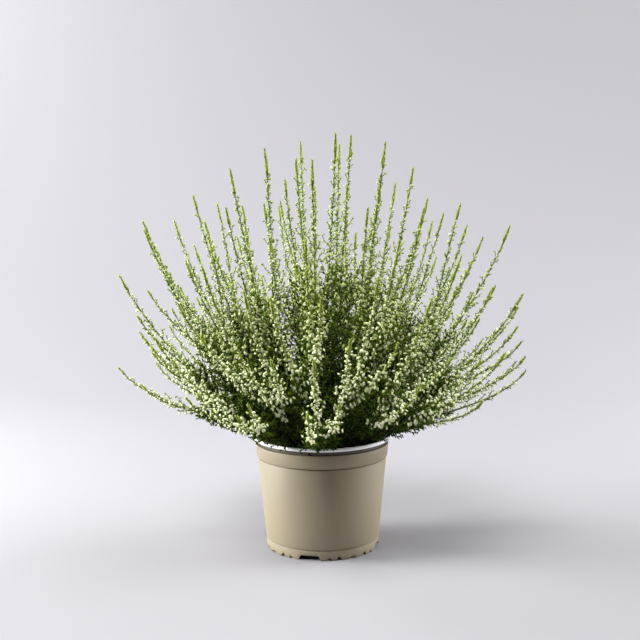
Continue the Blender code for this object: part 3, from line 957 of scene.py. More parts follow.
@dataclass
class Foliage:
    """Node trees that turn lines into stems with leaves, scales and buds."""

    shapes: SmallShapes
    bark: bpy.types.Material
    leaf: bpy.types.Material
    bud: bpy.types.Material
    stem_sides: int = 5
    twig_sides: int = 3
    stout_from: float = 0.5
    smallest: float = 0.3 * MM
    size_varies: Pair = (0.8, 1.15)
    turn_varies: float = 0.35
    turn_seed: int = 5
    tint_seed: int = 9
    # Leaves and buds are set a little wider apart than in life, to keep the triangles few
    kinds: dict[str, SetOut] = field(default_factory=lambda: {
        "Bud": SetOut(Shape.BUD, 3.3 * MM, math.radians(137.5), math.radians(85), 1.0),
        "Leaf": SetOut(Shape.LEAF, 1.6 * MM, math.radians(92), math.radians(50), 0.0),
        "Scale": SetOut(Shape.LEAF, 0.75 * MM, math.radians(94), math.radians(34), 1.0),
    })

    def set_out_tree(self) -> bpy.types.NodeTree:
        """Make the tree that sets one shape out along lines.

        Returns:
            The tree.
        """
        tree, take = new_tree("set_out_along_stems", {
            "Shape": "Object", "Size name": "String", "Spacing": "Float", "Turn": "Float", "Lean": "Float",
            "Nod": "Float", "Smallest": "Float", "Seed": "Int", "Finish": "Material",
        })
        curve = add_node(tree, "GeometryNodeMeshToCurve", {"Mesh": take["Geometry"]})
        even = add_node(tree, "GeometryNodeResampleCurve",
                        {"Curve": curve.outputs[0], "Length": take["Spacing"]}, mode="LENGTH")
        places = add_node(tree, "GeometryNodeCurveToPoints", {"Curve": even.outputs[0]}, mode="EVALUATED")
        size, nod = [
            add_node(tree, "GeometryNodeInputNamedAttribute", {"Name": name}, data_type="FLOAT").outputs[0]
            for name in (take["Size name"], "nod")
        ]
        vary, stray, tint = [
            add_node(tree, "FunctionNodeRandomValue", {2: low, 3: high, "Seed": seed},
                     data_type="FLOAT").outputs[1]
            for low, high, seed in ((*self.size_varies, take["Seed"]),
                                    (-self.turn_varies, self.turn_varies, self.turn_seed),
                                    (*WHOLE_RANGE, self.tint_seed))
        ]
        index = add_node(tree, "GeometryNodeInputIndex").outputs[0]
        scale, spin, lean, weight = [
            add_node(tree, "ShaderNodeMath", {0: first, 1: second}, operation="MULTIPLY").outputs[0]
            for first, second in ((size, vary), (index, take["Turn"]), (take["Lean"], vary),
                                  (nod, take["Nod"]))
        ]
        spin = add_node(tree, "ShaderNodeMath", {0: spin, 1: stray}, operation="ADD").outputs[0]
        turn = places.outputs["Rotation"]
        for axis, angle in (((0, 0, 1), spin), ((1, 0, 0), lean)):
            about = add_node(tree, "FunctionNodeAxisAngleToRotation", {"Axis": axis, "Angle": angle})
            turn = add_node(tree, "FunctionNodeRotateRotation",
                            {"Rotation": turn, "Rotate By": about.outputs[0]},
                            rotation_space="LOCAL").outputs[0]
        points = add_node(tree, "FunctionNodeRotateVector", {"Vector": (0, 0, 1), "Rotation": turn})
        fall = add_node(tree, "ShaderNodeVectorMath", {0: (0, 0, -1), "Scale": weight}, operation="SCALE")
        aim = add_node(tree, "ShaderNodeVectorMath", {0: points.outputs[0], 1: fall.outputs[0]},
                       operation="ADD")
        hung = add_node(tree, "FunctionNodeAlignRotationToVector",
                        {"Rotation": turn, "Vector": aim.outputs[0]}, axis="Z")
        shown = add_node(tree, "FunctionNodeCompare", {0: size, 1: take["Smallest"]}, data_type="FLOAT",
                         operation="GREATER_THAN")
        shape = add_node(tree, "GeometryNodeObjectInfo", {"Object": take["Shape"]})
        copies = add_node(tree, "GeometryNodeInstanceOnPoints", {
            "Points": places.outputs[0], "Selection": shown.outputs[0], "Instance": shape.outputs["Geometry"],
            "Rotation": hung.outputs[0], "Scale": scale,
        })
        tinted = add_node(tree, "GeometryNodeStoreNamedAttribute",
                          {"Geometry": copies.outputs[0], "Name": "tint", "Value": tint},
                          data_type="FLOAT", domain="INSTANCE")
        real = add_node(tree, "GeometryNodeRealizeInstances", {"Geometry": tinted.outputs[0]})
        done = add_node(tree, "GeometryNodeSetMaterial",
                        {"Geometry": real.outputs[0], "Material": take["Finish"]})
        add_node(tree, "NodeGroupOutput", {"Geometry": done.outputs[0]})
        return tree

    def branch_tree(self) -> bpy.types.NodeTree:
        """Make the tree for a whole branch: its stems, and three kinds of shape along them.

        Returns:
            The tree.
        """
        inner = self.set_out_tree()
        steps = {f"{kind} {what}": "Float"
                 for kind in self.kinds for what in ("spacing", "turn", "lean", "nod")}
        shown = {f"{kind} shape": "Object" for kind in self.kinds}
        tree, take = new_tree("heather_branch", {
            "Stem sides": "Int", "Twig sides": "Int", "Smallest": "Float", "Bark finish": "Material",
            "Bud finish": "Material", "Leaf finish": "Material", "Scale finish": "Material", **steps, **shown,
        })
        girth, stout = [
            add_node(tree, "GeometryNodeInputNamedAttribute", {"Name": name}, data_type="FLOAT").outputs[0]
            for name in ("girth", "stout")
        ]
        parts = []
        for operation, sides in (("GREATER_THAN", "Stem sides"), ("LESS_EQUAL", "Twig sides")):
            chosen = add_node(tree, "FunctionNodeCompare", {0: stout, 1: self.stout_from}, data_type="FLOAT",
                              operation=operation)
            curve = add_node(tree, "GeometryNodeMeshToCurve",
                             {"Mesh": take["Geometry"], "Selection": chosen.outputs[0]})
            ring = add_node(tree, "GeometryNodeCurvePrimitiveCircle",
                            {"Resolution": take[sides], "Radius": 1.0})
            tube = add_node(tree, "GeometryNodeCurveToMesh", {
                "Curve": curve.outputs[0], "Profile Curve": ring.outputs[0], "Scale": girth,
                "Fill Caps": True,
            })
            parts.append(add_node(tree, "GeometryNodeSetMaterial", {
                "Geometry": tube.outputs[0], "Material": take["Bark finish"],
            }))
        for kind in self.kinds:
            parts.append(add_node(tree, "GeometryNodeGroup", {
                "Geometry": take["Geometry"], "Shape": take[f"{kind} shape"], "Size name": kind.lower(),
                "Spacing": take[f"{kind} spacing"], "Turn": take[f"{kind} turn"],
                "Lean": take[f"{kind} lean"], "Nod": take[f"{kind} nod"],
                "Smallest": take["Smallest"], "Finish": take[f"{kind} finish"],
                "Seed": len(parts),
            }, node_tree=inner))
        joined = add_node(tree, "GeometryNodeJoinGeometry")
        for part in parts:
            tree.links.new(part.outputs[0], joined.inputs[0])
        add_node(tree, "NodeGroupOutput", {"Geometry": joined.outputs[0]})
        return tree

    def inputs(self) -> dict[str, Any]:
        """List what the branch tree's inputs get.

        Returns:
            A value for each named input.
        """
        values: dict[str, Any] = {
            "Stem sides": self.stem_sides, "Twig sides": self.twig_sides, "Smallest": self.smallest,
            "Bark finish": self.bark, "Bud finish": self.bud, "Leaf finish": self.leaf,
            "Scale finish": self.leaf,
        }
        for kind, how in self.kinds.items():
            values |= {
                f"{kind} shape": self.shapes.made[how.shape], f"{kind} spacing": how.spacing,
                f"{kind} turn": how.turn, f"{kind} lean": how.lean, f"{kind} nod": how.nods,
            }
        return values


@dataclass
class StemDress:
    """Lays the lines of one stem: its own axis, its leafy twigs low down and its racemes above.

    Places along a stem are shares of a whole stem's length.
    """

    leafy_to: float = 0.38
    inner_leafy_to: float = 0.48
    buds_on_axis_from: float = 0.64
    panicle_to: float = 0.76
    raceme_to: float = 0.935
    bare_to: float = 0.05
    root_depth: float = 6.0 * MM
    side_hint: tuple[float, float, float] = (0.3, 0.9, 0.1)
    bend_at: Pair = (0.62, 0.35)
    shorter_below: float = 0.65
    thins_to: float = 0.6

    axis_step: float = 6.0 * MM
    axis_girth: Pair = (1.25 * MM, 0.40 * MM)
    axis_taper: float = 0.8
    axis_bud: float = 0.95
    axis_bloom_fall: float = 0.6
    scales_before: float = 0.01
    leaf_size: float = 4.2 * MM
    small_leaf: float = 2.4 * MM
    bud_size: Pair = (4.9 * MM, 2.5 * MM)
    scale_size: Pair = (4.8 * MM, 2.8 * MM)
    nod: Pair = (1.5, -0.5)
    tip_nod: float = -0.35

    twig_step: float = 2.2 * MM
    twig_points: int = 3
    twigs_to: Pair = (0.60, 0.53)
    twig_fade: int = 3
    last_twig: float = 0.5
    twig_turn_varies: float = 0.4
    twig_reach: Pair = (9.0 * MM, 20.0 * MM)
    twig_lift: Pair = (9.0 * MM, 18.0 * MM)
    twig_girth: float = 0.32 * MM
    twig_leaf_end: float = 0.8
    twig_youth: Pair = (0.85, 0.2)

    raceme_step: float = 4.4 * MM
    raceme_points: int = 4
    raceme_before: float = 0.06
    raceme_turn_varies: float = 0.3
    raceme_reach: Pair = (13.0 * MM, 4.5 * MM)
    raceme_lift: Pair = (13.5 * MM, 7.0 * MM)
    top_reach: float = 2.5 * MM
    top_lift: float = 3.5 * MM
    reach_varies: Pair = (0.75, 1.1)
    lift_varies: Pair = (0.8, 1.15)
    least_reach: float = 6.0 * MM
    room_share: float = 2.4
    racemes_above: float = 121 * MM
    raceme_girth: float = 0.34 * MM
    raceme_bud_fall: float = 0.5
    raceme_bud_end: float = 0.75
    raceme_scale: float = 1.8 * MM
    raceme_youth: float = 0.12
    raceme_bloom_fall: float = 0.25

    def walk(self, stem: Stem, step: float) -> tuple[np.ndarray, np.ndarray]:
        """Walk along a stem in equal steps.

        Args:
            stem: The stem.
            step: The distance between points.

        Returns:
            The points, and each one's share of a whole stem.
        """
        steps = np.linalg.norm(np.diff(stem.path, axis=0), axis=1)
        along = np.concatenate([[0], np.cumsum(steps)])
        length = along[-1]
        distances = np.linspace(0, length, max(3, int(length / step)))
        points = np.stack([np.interp(distances, along, stem.path[:, axis]) for axis in range(3)], axis=1)
        return points, mix(stem.start, 1.0, distances / length)

    def frames(self, points: np.ndarray) -> list[tuple[np.ndarray, np.ndarray, np.ndarray]]:
        """Carry a pair of side directions along a line without spin.

        Args:
            points: The line's points.

        Returns:
            Tangent and two side directions at each point.
        """
        tangents = np.gradient(points, axis=0)
        tangents /= np.linalg.norm(tangents, axis=1)[:, None]
        side = np.cross(tangents[0], self.side_hint)
        made = []
        for tangent in tangents:
            side = side - tangent * side.dot(tangent)
            side /= np.linalg.norm(side)
            made.append((tangent, side, np.cross(tangent, side)))
        return made

    def axis(self, lines: Lines, stem: Stem, rooted: bool) -> None:
        """Lay a stem's own line, with a foot in the soil if it is rooted.

        Args:
            lines: Where the line goes.
            stem: The stem.
            rooted: Whether it stands in the soil.
        """
        points, shares = self.walk(stem, self.axis_step)
        if rooted:
            points = np.concatenate([[points[0] - np.array([0, 0, self.root_depth])], points])
            shares = np.concatenate([[shares[0]], shares])
        leafy = (shares > self.bare_to) & (shares < self.raceme_to)
        budded = (shares > self.buds_on_axis_from) & (shares < self.raceme_to)
        ripe = np.clip((shares - self.leafy_to) / (self.raceme_to - self.leafy_to), 0, 1)
        last = np.clip((shares - self.raceme_to) / (1 - self.raceme_to), 0, 1)
        lines.add(
            points,
            girth=mix(*self.axis_girth, shares ** self.axis_taper),
            stout=1.0,
            bud=np.where(budded, mix(*self.bud_size, ripe) * self.axis_bud, 0),
            leaf=np.where(leafy, np.where(shares < self.leafy_to, self.leaf_size, self.small_leaf), 0),
            scale=np.where(shares >= self.raceme_to - self.scales_before, mix(*self.scale_size, last), 0),
            nod=mix(mix(*self.nod, ripe), self.tip_nod, last),
            along=shares,
            bloom=np.clip(stem.bloom - self.axis_bloom_fall * ripe ** 2, 0, 1),
        )

    def side_line(self, point: np.ndarray, frame_at: tuple[np.ndarray, np.ndarray, np.ndarray], turn: float,
                  reach: float, lift: float, count: int) -> np.ndarray:
        """Curve that leaves a stem outwards and then turns up along it.

        Args:
            point: Where it leaves.
            frame_at: Tangent and side directions there.
            turn: Angle about the stem.
            reach: How far out its tip is.
            lift: How far up its tip is.
            count: How many points it has.

        Returns:
            The points.
        """
        tangent, side, other = frame_at
        outward = math.cos(turn) * side + math.sin(turn) * other
        reach *= 1 + self.shorter_below * min(0.0, outward[2])
        tip = point + reach * outward + lift * tangent
        bend_out, bend_up = self.bend_at
        bend = point + bend_out * reach * outward + bend_up * lift * tangent
        return bezier(point, bend, tip, count)

    def twigs(self, lines: Lines, stem: Stem, rng: random.Random, first: float, last: float) -> None:
        """Lay leafy twigs along part of a stem, shorter towards its end.

        Args:
            lines: Where the lines go.
            stem: The stem.
            rng: Source of chance.
            first: Share of the stem where they start.
            last: Share where they end.
        """
        points, shares = self.walk(stem, self.twig_step)
        fade = np.linspace(0, 1, self.twig_points)
        youth, end_youth = self.twig_youth
        turn = rng.uniform(0, math.tau)
        for point, share, at in zip(points, shares, self.frames(points)):
            turn += GOLDEN_ANGLE + rng.uniform(-self.twig_turn_varies, self.twig_turn_varies)
            if not first < share < last:
                continue
            faded = max(0.0, self.twig_fade * share / last - (self.twig_fade - 1))
            size = mix(1.0, self.last_twig, faded)
            reach = size * rng.uniform(*self.twig_reach)
            lift = size * rng.uniform(*self.twig_lift)
            lines.add(
                self.side_line(point, at, turn, reach, lift, self.twig_points),
                girth=mix(self.twig_girth, self.twig_girth * self.thins_to, fade),
                stout=0.0,
                bud=0.0,
                leaf=mix(self.leaf_size, self.leaf_size * self.twig_leaf_end, fade),
                scale=0.0,
                nod=0.0,
                along=np.clip(youth * share + end_youth * fade ** 2, 0, 1),
                bloom=0.0,
            )

    def racemes(self, lines: Lines, stem: Stem, room: Callable[[np.ndarray], np.ndarray],
                rng: random.Random) -> None:
        """Lay budded side racemes along the middle of a stem.

        Args:
            lines: Where the lines go.
            stem: The stem.
            room: Gives the free distance round each point.
            rng: Source of chance.
        """
        points, shares = self.walk(stem, self.raceme_step)
        fade = np.linspace(0, 1, self.raceme_points)
        leafy_to = mix(self.inner_leafy_to, self.leafy_to, stem.bloom)
        turn = rng.uniform(0, math.tau)
        for point, share, at, space in zip(points, shares, self.frames(points), room(points)):
            turn += GOLDEN_ANGLE + rng.uniform(-self.raceme_turn_varies, self.raceme_turn_varies)
            if not leafy_to - self.raceme_before < share < self.raceme_to or point[2] < self.racemes_above:
                continue
            up = min(1.0, max(0.0, (share - leafy_to) / (self.panicle_to - leafy_to)))
            wide, lift = mix(*self.raceme_reach, up), mix(*self.raceme_lift, up)
            if share > self.panicle_to:
                wide, lift = self.top_reach, self.top_lift
            wide *= rng.uniform(*self.reach_varies)
            lift *= rng.uniform(*self.lift_varies)
            reach = min(wide, max(self.least_reach, self.room_share * space))
            lines.add(
                self.side_line(point, at, turn, reach, lift, self.raceme_points),
                girth=mix(self.raceme_girth, self.raceme_girth * self.thins_to, fade),
                stout=0.0,
                bud=mix(*self.bud_size, self.raceme_bud_fall * up) * mix(1.0, self.raceme_bud_end, fade),
                leaf=self.small_leaf * up,
                scale=np.where(fade == 1, self.raceme_scale, 0),
                nod=mix(*self.nod, up),
                along=np.clip(share + self.raceme_youth * fade, 0, 1),
                bloom=np.clip(stem.bloom - self.raceme_bloom_fall * fade ** 2
                              - self.raceme_bloom_fall * up ** 2, 0, 1),
            )


@dataclass
class Heather:
    """The plant: flowering branches and leafy sprays, one piece for each solid."""

    plan: HeatherPlan
    foliage: Foliage
    dress: StemDress = field(default_factory=StemDress)
    spray_dress: StemDress = field(default_factory=lambda: StemDress(
        leafy_to=PAST_TIP, panicle_to=PAST_TIP, raceme_to=PAST_TIP, last_twig=1.0,
        twig_reach=(5.0 * MM, 9.0 * MM), twig_lift=(8.0 * MM, 15.0 * MM), axis_girth=(1.2 * MM, 0.35 * MM),
    ))
    spray_twigs: Pair = (0.1, 0.95)
    branch_seed: int = 500
    spray_seed: int = 700

    def build(self) -> None:
        """Grow every branch and spray."""
        tree, inputs = self.foliage.branch_tree(), self.foliage.inputs()
        branches = self.plan.all_branches()
        paths = [stem.path for stems in branches for stem in stems]
        sprays = self.plan.all_sprays(paths)
        everything = paths + [stem.path for stem in sprays]
        for index, stems in enumerate(branches):
            lines = Lines()
            rng = random.Random(self.branch_seed + index)
            for order, stem in enumerate(stems):
                others = [path for path in everything if path is not stem.path]
                self.dress.axis(lines, stem, order == 0)
                self.dress.twigs(lines, stem, rng, self.dress.bare_to, mix(*self.dress.twigs_to, stem.bloom))
                self.dress.racemes(lines, stem, lambda points: gap_to_others(points, others) / 2, rng)
            piece = grown(lines.to_object(f"flowering_branch_{index:02d}"), tree, inputs)
            finish_piece(piece, f"branch_{index:02d}")
        for index, stem in enumerate(sprays):
            lines = Lines()
            self.spray_dress.axis(lines, stem, True)
            self.spray_dress.twigs(lines, stem, random.Random(self.spray_seed + index), *self.spray_twigs)
            piece = grown(lines.to_object(f"leafy_twigs_{index:02d}"), tree, inputs)
            finish_piece(piece, f"leafy_spray_{index:02d}")


# Pot and peat


@dataclass(frozen=True)
class Notch:
    """A notch in the pot's foot: its azimuth, its width below and above, and its height."""

    azimuth: float
    wide: float
    narrow: float
    height: float


@dataclass
class NurseryPot:
    """A moulded two-layer nursery pot: taupe outside, with a white lining that shows on its lip."""

    outside: bpy.types.Material
    lining: bpy.types.Material
    foot_radius: float = 48.9 * MM
    columns: int = 216
    column_margin: float = 0.2 * MM
    drain_holes: int = 6
    drain_radius: float = 3.5 * MM
    drain_ring: float = 34 * MM
    drain_sides: int = 24
    base_middle: float = 6.2 * MM
    cut_depth: float = 4 * MM
    quarters: int = 4
    big_notch_azimuth: float = math.radians(-103.7)
    big_notch: tuple[float, float, float] = (19.7 * MM, 15.2 * MM, 4.0 * MM)
    arch: tuple[float, float, float] = (3.6 * MM, 2.2 * MM, 1.6 * MM)
    tall: tuple[float, float, float] = (4.2 * MM, 1.6 * MM, 2.5 * MM)
    low: tuple[float, float, float] = (5.5 * MM, 4.5 * MM, 1.3 * MM)
    # Degrees from a quarter's start to each of its notches
    notch_turns: tuple[float, ...] = (0, 20, 30, 45, 60, 70)
    sharp_angle: float = math.radians(38)

    # Radius and height in mm, from the lip's inner edge over the rim, down to the foot and up inside
    lip_outline: tuple[Pair, ...] = (
        (58.10, 98.30), (58.30, 98.75), (58.65, 98.97), (58.95, 99.0), (59.35, 98.80), (59.68, 98.40),
        (59.90, 97.90), (60.0, 97.35), (59.95, 96.85), (59.80, 96.45), (59.50, 96.15), (59.20, 96.05),
    )
    wall_outline: tuple[Pair, ...] = (
        (58.20, 95.95), (56.80, 95.70), (56.35, 95.2), (56.25, 92.9), (57.50, 92.6), (58.05, 92.3),
        (58.20, 91.8), (57.15, 81.4), (57.05, 81.1), (56.70, 80.95), (55.15, 80.85), (55.10, 79.85),
        (56.00, 79.75), (56.20, 79.4), (49.80, 9.9), (49.72, 9.45), (49.45, 9.30), (48.80, 9.20),
        (48.75, 8.50), (49.10, 8.35), (49.22, 8.0), (49.35, 1.6),
    )
    foot_outline: tuple[Pair, ...] = ((49.15, 0.25), (48.90, 0.0), (47.62, 0.0))
    base_outline: tuple[Pair, ...] = ((47.50, 0.12), (47.90, 5.5), (5.0, 5.5), (5.0, 7.0))
    inner_outline: tuple[Pair, ...] = (
        (47.3, 7.0), (47.6, 7.4), (54.20, 79.4), (54.30, 80.8), (55.45, 93.0), (55.70, 95.6),
        (56.90, 97.2), (57.60, 97.9),
    )

    def notches(self) -> list[Notch]:
        """List every notch round the foot.

        Returns:
            The notches.
        """
        sizes = (self.big_notch, self.arch, self.tall, self.low, self.tall, self.arch)
        made = []
        for quarter in range(self.quarters):
            for degrees, size in zip(self.notch_turns, sizes):
                azimuth = self.big_notch_azimuth + quarter * math.tau / self.quarters + math.radians(degrees)
                made.append(Notch(azimuth % math.tau, *size))
        return made

    def foot_columns(self) -> list[Pair]:
        """Azimuths of the mesh's columns, with how far the notches lift the foot at each.

        Returns:
            Azimuth and lift, in order round the pot.
        """
        made = []
        notches = self.notches()
        for notch in notches:
            for half, lift in ((notch.wide / 2, 0.0), (notch.narrow / 2, notch.height)):
                for sign in (-1, 1):
                    made.append(((notch.azimuth + sign * half / self.foot_radius) % math.tau, lift))
        for column in range(self.columns):
            azimuth = column * math.tau / self.columns
            lift = 0.0
            near_edge = False
            for notch in notches:
                off = abs((azimuth - notch.azimuth + math.pi) % math.tau - math.pi) * self.foot_radius
                if off < notch.narrow / 2:
                    lift = notch.height
                inner, outer = notch.narrow / 2 - self.column_margin, notch.wide / 2 + self.column_margin
                near_edge = near_edge or inner < off < outer
            if not near_edge:
                made.append((azimuth, lift))
        return sorted(made)

    def build(self) -> None:
        """Make the pot."""
        outline = [*self.lip_outline, *self.wall_outline, *self.foot_outline, *self.base_outline,
                   *self.inner_outline]
        foot_at = len(self.lip_outline) + len(self.wall_outline)
        base_at = foot_at + len(self.foot_outline) + 1
        # The notches lift the wall's last ring, the foot's three and the base's first
        lifted = range(foot_at - 1, base_at)
        # The taupe skin runs from the lip's last ring down and on under the base
        taupe = range(len(self.lip_outline) - 1, base_at + 1)
        bm = bmesh.new()
        rings = []
        for azimuth, lift in self.foot_columns():
            ring = []
            for index, (radius, z) in enumerate(outline):
                raised = lift if index in lifted else 0.0
                ring.append(bm.verts.new((radius * MM * math.cos(azimuth), radius * MM * math.sin(azimuth),
                                          z * MM + raised)))
            rings.append(ring)
        for ring, after in zip(rings, rings[1:] + rings[:1]):
            for index in range(len(outline)):
                below = (index + 1) % len(outline)
                face = bm.faces.new((ring[index], ring[below], after[below], after[index]))
                face.smooth = True
                face.material_index = 0 if index in taupe else 1
        bmesh.ops.recalc_face_normals(bm, faces=bm.faces)
        pot = mesh_object("nursery_pot", bm)
        pot.data.materials.append(self.outside)
        pot.data.materials.append(self.lining)
        self.drain(pot)
        pot.data.set_sharp_from_angle(angle=self.sharp_angle)
        finish_piece(pot, "pot")

    def drain(self, pot: bpy.types.Object) -> None:
        """Cut the drain holes in the base.

        Args:
            pot: The pot.
        """
        bm = bmesh.new()
        for hole in range(self.drain_holes):
            azimuth = hole * math.tau / self.drain_holes
            place = Matrix.Translation((self.drain_ring * math.cos(azimuth),
                                        self.drain_ring * math.sin(azimuth), self.base_middle))
            bmesh.ops.create_cone(bm, cap_ends=True, segments=self.drain_sides, radius1=self.drain_radius,
                                  radius2=self.drain_radius, depth=self.cut_depth, matrix=place)
        cutter = mesh_object("drain_cutter", bm)
        cut = pot.modifiers.new("drain", "BOOLEAN")
        cut.operation = "DIFFERENCE"
        cut.solver = "EXACT"
        cut.object = cutter
        made_plain(pot)
        bpy.data.objects.remove(cutter)


@dataclass
class PeatFill:
    """The peat in the pot: a rough top with loose crumbs lying on it."""

    finish: bpy.types.Material
    shapes: SmallShapes
    top_z: float = 89.6 * MM
    top_radius: float = 55.0 * MM
    low_z: float = 7.4 * MM
    low_radius: float = 47.0 * MM
    rings: int = 26
    sides: int = 96
    roughness: float = 1.6 * MM
    lump: float = 7 * MM
    waves: int = 24
    wave_gain: float = 3
    density: float = 95000.0
    crumb_apart: float = 1.6 * MM
    crumb_size: Pair = (1.4 * MM, 3.6 * MM)
    crumb_tilt: float = 0.4
    upward: float = 0.3
    seed: int = 21

    def circle(self, radius: float) -> list[Pair]:
        """Go round a circle of the peat.

        Args:
            radius: The circle's radius.

        Returns:
            Each point's x and y.
        """
        turns = [math.tau * side / self.sides for side in range(self.sides)]
        return [(radius * math.cos(turn), radius * math.sin(turn)) for turn in turns]

    def body(self) -> bpy.types.Object:
        """Make the peat's closed body with an uneven top.

        Returns:
            The object.
        """
        rng = np.random.default_rng(self.seed)
        waves = rng.uniform(-1, 1, (self.waves, 2)) / self.lump
        phases = rng.uniform(0, math.tau, self.waves)
        bm = bmesh.new()
        middle = bm.verts.new((0, 0, self.top_z))
        loops = []
        for ring in range(1, self.rings + 1):
            loop = []
            for x, y in self.circle(self.top_radius * ring / self.rings):
                rise = float(np.sin(waves @ np.array([x, y]) * math.tau + phases).mean()) * self.wave_gain
                rise = 0.0 if ring == self.rings else self.roughness * max(-1.0, min(1.0, rise))
                loop.append(bm.verts.new((x, y, self.top_z + rise)))
            loops.append(loop)
        loops.append([bm.verts.new((x, y, self.low_z)) for x, y in self.circle(self.low_radius)])
        for side in range(self.sides):
            after = (side + 1) % self.sides
            bm.faces.new((middle, loops[0][side], loops[0][after]))
            for inner, outer in zip(loops, loops[1:]):
                bm.faces.new((inner[side], outer[side], outer[after], inner[after]))
        bm.faces.new(list(reversed(loops[-1])))
        bmesh.ops.recalc_face_normals(bm, faces=bm.faces)
        return mesh_object("peat_fill", bm)

    def crumb_tree(self) -> bpy.types.NodeTree:
        """Make the tree that strews crumbs on the top.

        Returns:
            The tree.
        """
        tree, take = new_tree("strewn_crumbs", {
            "Crumb": "Object", "Apart": "Float", "Density": "Float", "Smallest": "Float", "Largest": "Float",
            "Seed": "Int", "Finish": "Material",
        })
        facing = add_node(tree, "GeometryNodeInputNormal")
        up = add_node(tree, "ShaderNodeSeparateXYZ", {0: facing.outputs[0]})
        top = add_node(tree, "FunctionNodeCompare", {0: up.outputs[2], 1: self.upward}, data_type="FLOAT",
                       operation="GREATER_THAN")
        spots = add_node(tree, "GeometryNodeDistributePointsOnFaces", {
            "Mesh": take["Geometry"], "Selection": top.outputs[0], "Distance Min": take["Apart"],
            "Density Max": take["Density"], "Seed": take["Seed"],
        }, distribute_method="POISSON")
        size = add_node(tree, "FunctionNodeRandomValue", {2: take["Smallest"], 3: take["Largest"]},
                        data_type="FLOAT")
        tilt = self.crumb_tilt
        spin = add_node(tree, "FunctionNodeRandomValue", {0: (-tilt, -tilt, 0.0), 1: (tilt, tilt, math.tau)},
                        data_type="FLOAT_VECTOR")
        turn = add_node(tree, "FunctionNodeEulerToRotation", {0: spin.outputs[0]})
        shape = add_node(tree, "GeometryNodeObjectInfo", {"Object": take["Crumb"]})
        crumbs = add_node(tree, "GeometryNodeInstanceOnPoints", {
            "Points": spots.outputs[0], "Instance": shape.outputs["Geometry"], "Rotation": turn.outputs[0],
            "Scale": size.outputs[1],
        })
        joined = add_node(tree, "GeometryNodeJoinGeometry")
        tree.links.new(take["Geometry"], joined.inputs[0])
        tree.links.new(crumbs.outputs[0], joined.inputs[0])
        real = add_node(tree, "GeometryNodeRealizeInstances", {"Geometry": joined.outputs[0]})
        done = add_node(tree, "GeometryNodeSetMaterial",
                        {"Geometry": real.outputs[0], "Material": take["Finish"]})
        add_node(tree, "NodeGroupOutput", {"Geometry": done.outputs[0]})
        return tree

    def build(self) -> None:
        """Make the peat."""
        smallest, largest = self.crumb_size
        peat = grown(self.body(), self.crumb_tree(), {
            "Crumb": self.shapes.made[Shape.CRUMB], "Apart": self.crumb_apart, "Density": self.density,
            "Smallest": smallest, "Largest": largest, "Seed": self.seed, "Finish": self.finish,
        })
        finish_piece(peat, "soil")


# Studio


@dataclass(frozen=True)
class SoftBox:
    """A square soft light: where it stands, what it points at, its side and its power."""

    name: str
    place: tuple[float, float, float]
    target: tuple[float, float, float]
    side: float
    watts: float

    def build(self) -> None:
        """Add the light."""
        data = bpy.data.lights.new(self.name, "AREA")
        data.shape = "SQUARE"
        data.size = self.side
        data.energy = self.watts
        light = in_scene(self.name, data)
        light.location = self.place
        aim = Vector(self.target) - Vector(self.place)
        light.rotation_euler = aim.to_track_quat("-Z", "Y").to_euler()
        light.visible_camera = False


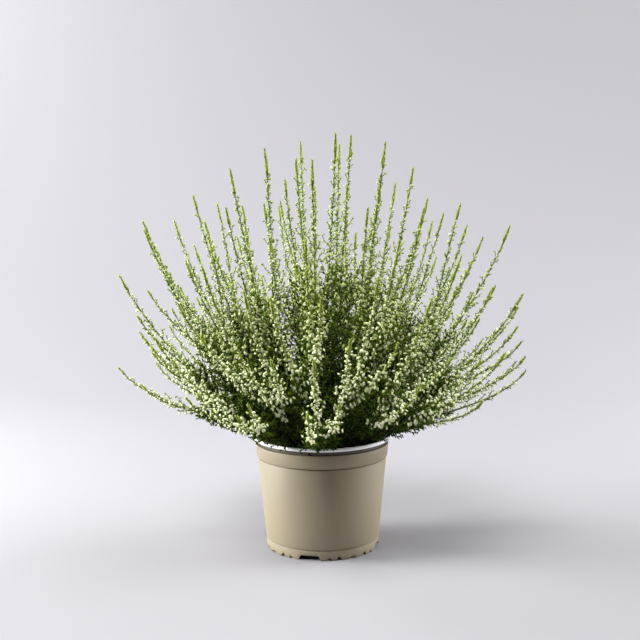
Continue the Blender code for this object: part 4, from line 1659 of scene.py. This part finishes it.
@dataclass
class Studio:
    """A pale paper sweep, soft lights and the camera at the photograph's angle."""

    paper: bpy.types.Material
    camera_place: tuple[float, float, float] = (-1.0 * MM, -951 * MM, 312.2 * MM)
    camera_pitch: float = 0.1184
    camera_roll: float = 0.0079
    lens_mm: float = 62.16
    sensor_mm: float = 36.0
    floor_half_width: float = 2.6
    floor_front: float = -3.0
    floor_back: float = 0.7
    floor_corner: float = 0.6
    sweep_bend: float = 1.5
    sweep_top: float = 3.2
    bend_steps: int = 24
    corner_steps: int = 8
    ambient: str = "#F3F4F6"
    ambient_strength: float = 0.02
    lights: tuple[SoftBox, ...] = (
        SoftBox("overhead", (-0.5, -0.9, 2.0), (0.0, 0.0, 0.1), 0.7, 55.0),
        SoftBox("overhead_right", (0.8, -0.3, 1.8), (0.0, 0.0, 0.1), 0.9, 9.0),
        SoftBox("left_side", (-1.3, -0.05, 0.5), (0.0, 0.0, 0.05), 0.5, 29.0),
        SoftBox("left_back", (-1.0, 0.15, 0.35), (0.0, 0.0, 0.05), 0.4, 8.0),
        SoftBox("right_side", (1.4, 0.3, 0.6), (0.0, 0.0, 0.1), 0.8, 29.0),
        SoftBox("backdrop_left", (-1.6, 0.9, 1.6), (-0.8, 2.2, 0.8), 0.8, 66.0),
        SoftBox("backdrop_right", (1.6, 1.0, 1.6), (1.0, 2.0, 0.6), 0.8, 29.0),
    )

    def floor_edge(self) -> list[tuple[Vector, Vector]]:
        """Go round the floor's edge, a rectangle with round corners.

        Returns:
            Each point of the edge with the direction that faces out of the floor there.
        """
        reach_x = self.floor_half_width - self.floor_corner
        back = self.floor_back - self.floor_corner
        front = self.floor_front + self.floor_corner
        corners = ((reach_x, back), (-reach_x, back), (-reach_x, front), (reach_x, front))
        edge = []
        for quarter, (x, y) in enumerate(corners):
            for step in range(self.corner_steps + 1):
                turn = (quarter + step / self.corner_steps) * math.pi / 2
                out = Vector((math.cos(turn), math.sin(turn), 0))
                edge.append((Vector((x, y, 0)) + self.floor_corner * out, out))
        return edge

    def sweep(self) -> None:
        """Lay the paper: a floor that curves up into a wall on every side."""
        profile = [(0.0, 0.0)]
        for step in range(1, self.bend_steps + 1):
            turn = step / self.bend_steps * math.pi / 2
            profile.append((self.sweep_bend * math.sin(turn), self.sweep_bend * (1 - math.cos(turn))))
        profile.append((self.sweep_bend, self.sweep_top))
        bm = bmesh.new()
        rows = [[bm.verts.new(point + away * out + Vector((0, 0, z))) for point, out in self.floor_edge()]
                for away, z in profile]
        bm.faces.new(rows[0])
        for low, high in zip(rows, rows[1:]):
            for index in range(len(low)):
                after = (index + 1) % len(low)
                face = bm.faces.new((low[index], high[index], high[after], low[after]))
                face.smooth = True
        paper = mesh_object("paper_sweep", bm)
        paper.data.materials.append(self.paper)

    def camera(self) -> None:
        """Set the camera up."""
        data = bpy.data.cameras.new("camera")
        data.lens = self.lens_mm
        data.sensor_width = self.sensor_mm
        camera = in_scene("camera", data)
        camera.location = self.camera_place
        look = Euler((math.pi / 2 - self.camera_pitch, 0, 0)).to_matrix()
        roll = Matrix.Rotation(-self.camera_roll, 3, "Z")
        camera.rotation_euler = (look @ roll).to_euler()
        bpy.context.scene.camera = camera

    def build(self) -> None:
        """Set the whole studio up."""
        self.sweep()
        self.camera()
        for light in self.lights:
            light.build()
        world = bpy.data.worlds.new("studio_air")
        world.use_nodes = True
        air = world.node_tree.nodes["Background"]
        air.inputs["Color"].default_value = linear(self.ambient)
        air.inputs["Strength"].default_value = self.ambient_strength
        bpy.context.scene.world = world
        bpy.context.scene.view_settings.view_transform = "Standard"
        log.info("studio: %d lights", len(self.lights))


def write_sizes() -> None:
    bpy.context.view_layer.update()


def main() -> None:
    """Build the studio and the potted heather."""
    logging.basicConfig(level=logging.INFO, format="%(message)s")
    Studio(StudioPaper().build()).build()
    shapes = SmallShapes()
    shapes.build()
    # The taupe is painted darker in the band under the lip, as painted shade for the undercut
    taupe = MouldedPolypropylene("taupe_polypropylene", shade_band=(92.2 * MM, 96.4 * MM)).build()
    white = MouldedPolypropylene("white_polypropylene", colour="#F8F7F6", roughness=0.4).build()
    NurseryPot(taupe, white).build()
    PeatFill(Peat().build(), shapes).build()
    foliage = Foliage(shapes, HeatherBark().build(), HeatherLeaf().build(), HeatherBud().build())
    Heather(HeatherPlan(), foliage).build()
    shapes.remove()
    write_sizes()


if __name__ == "__main__":
    main()
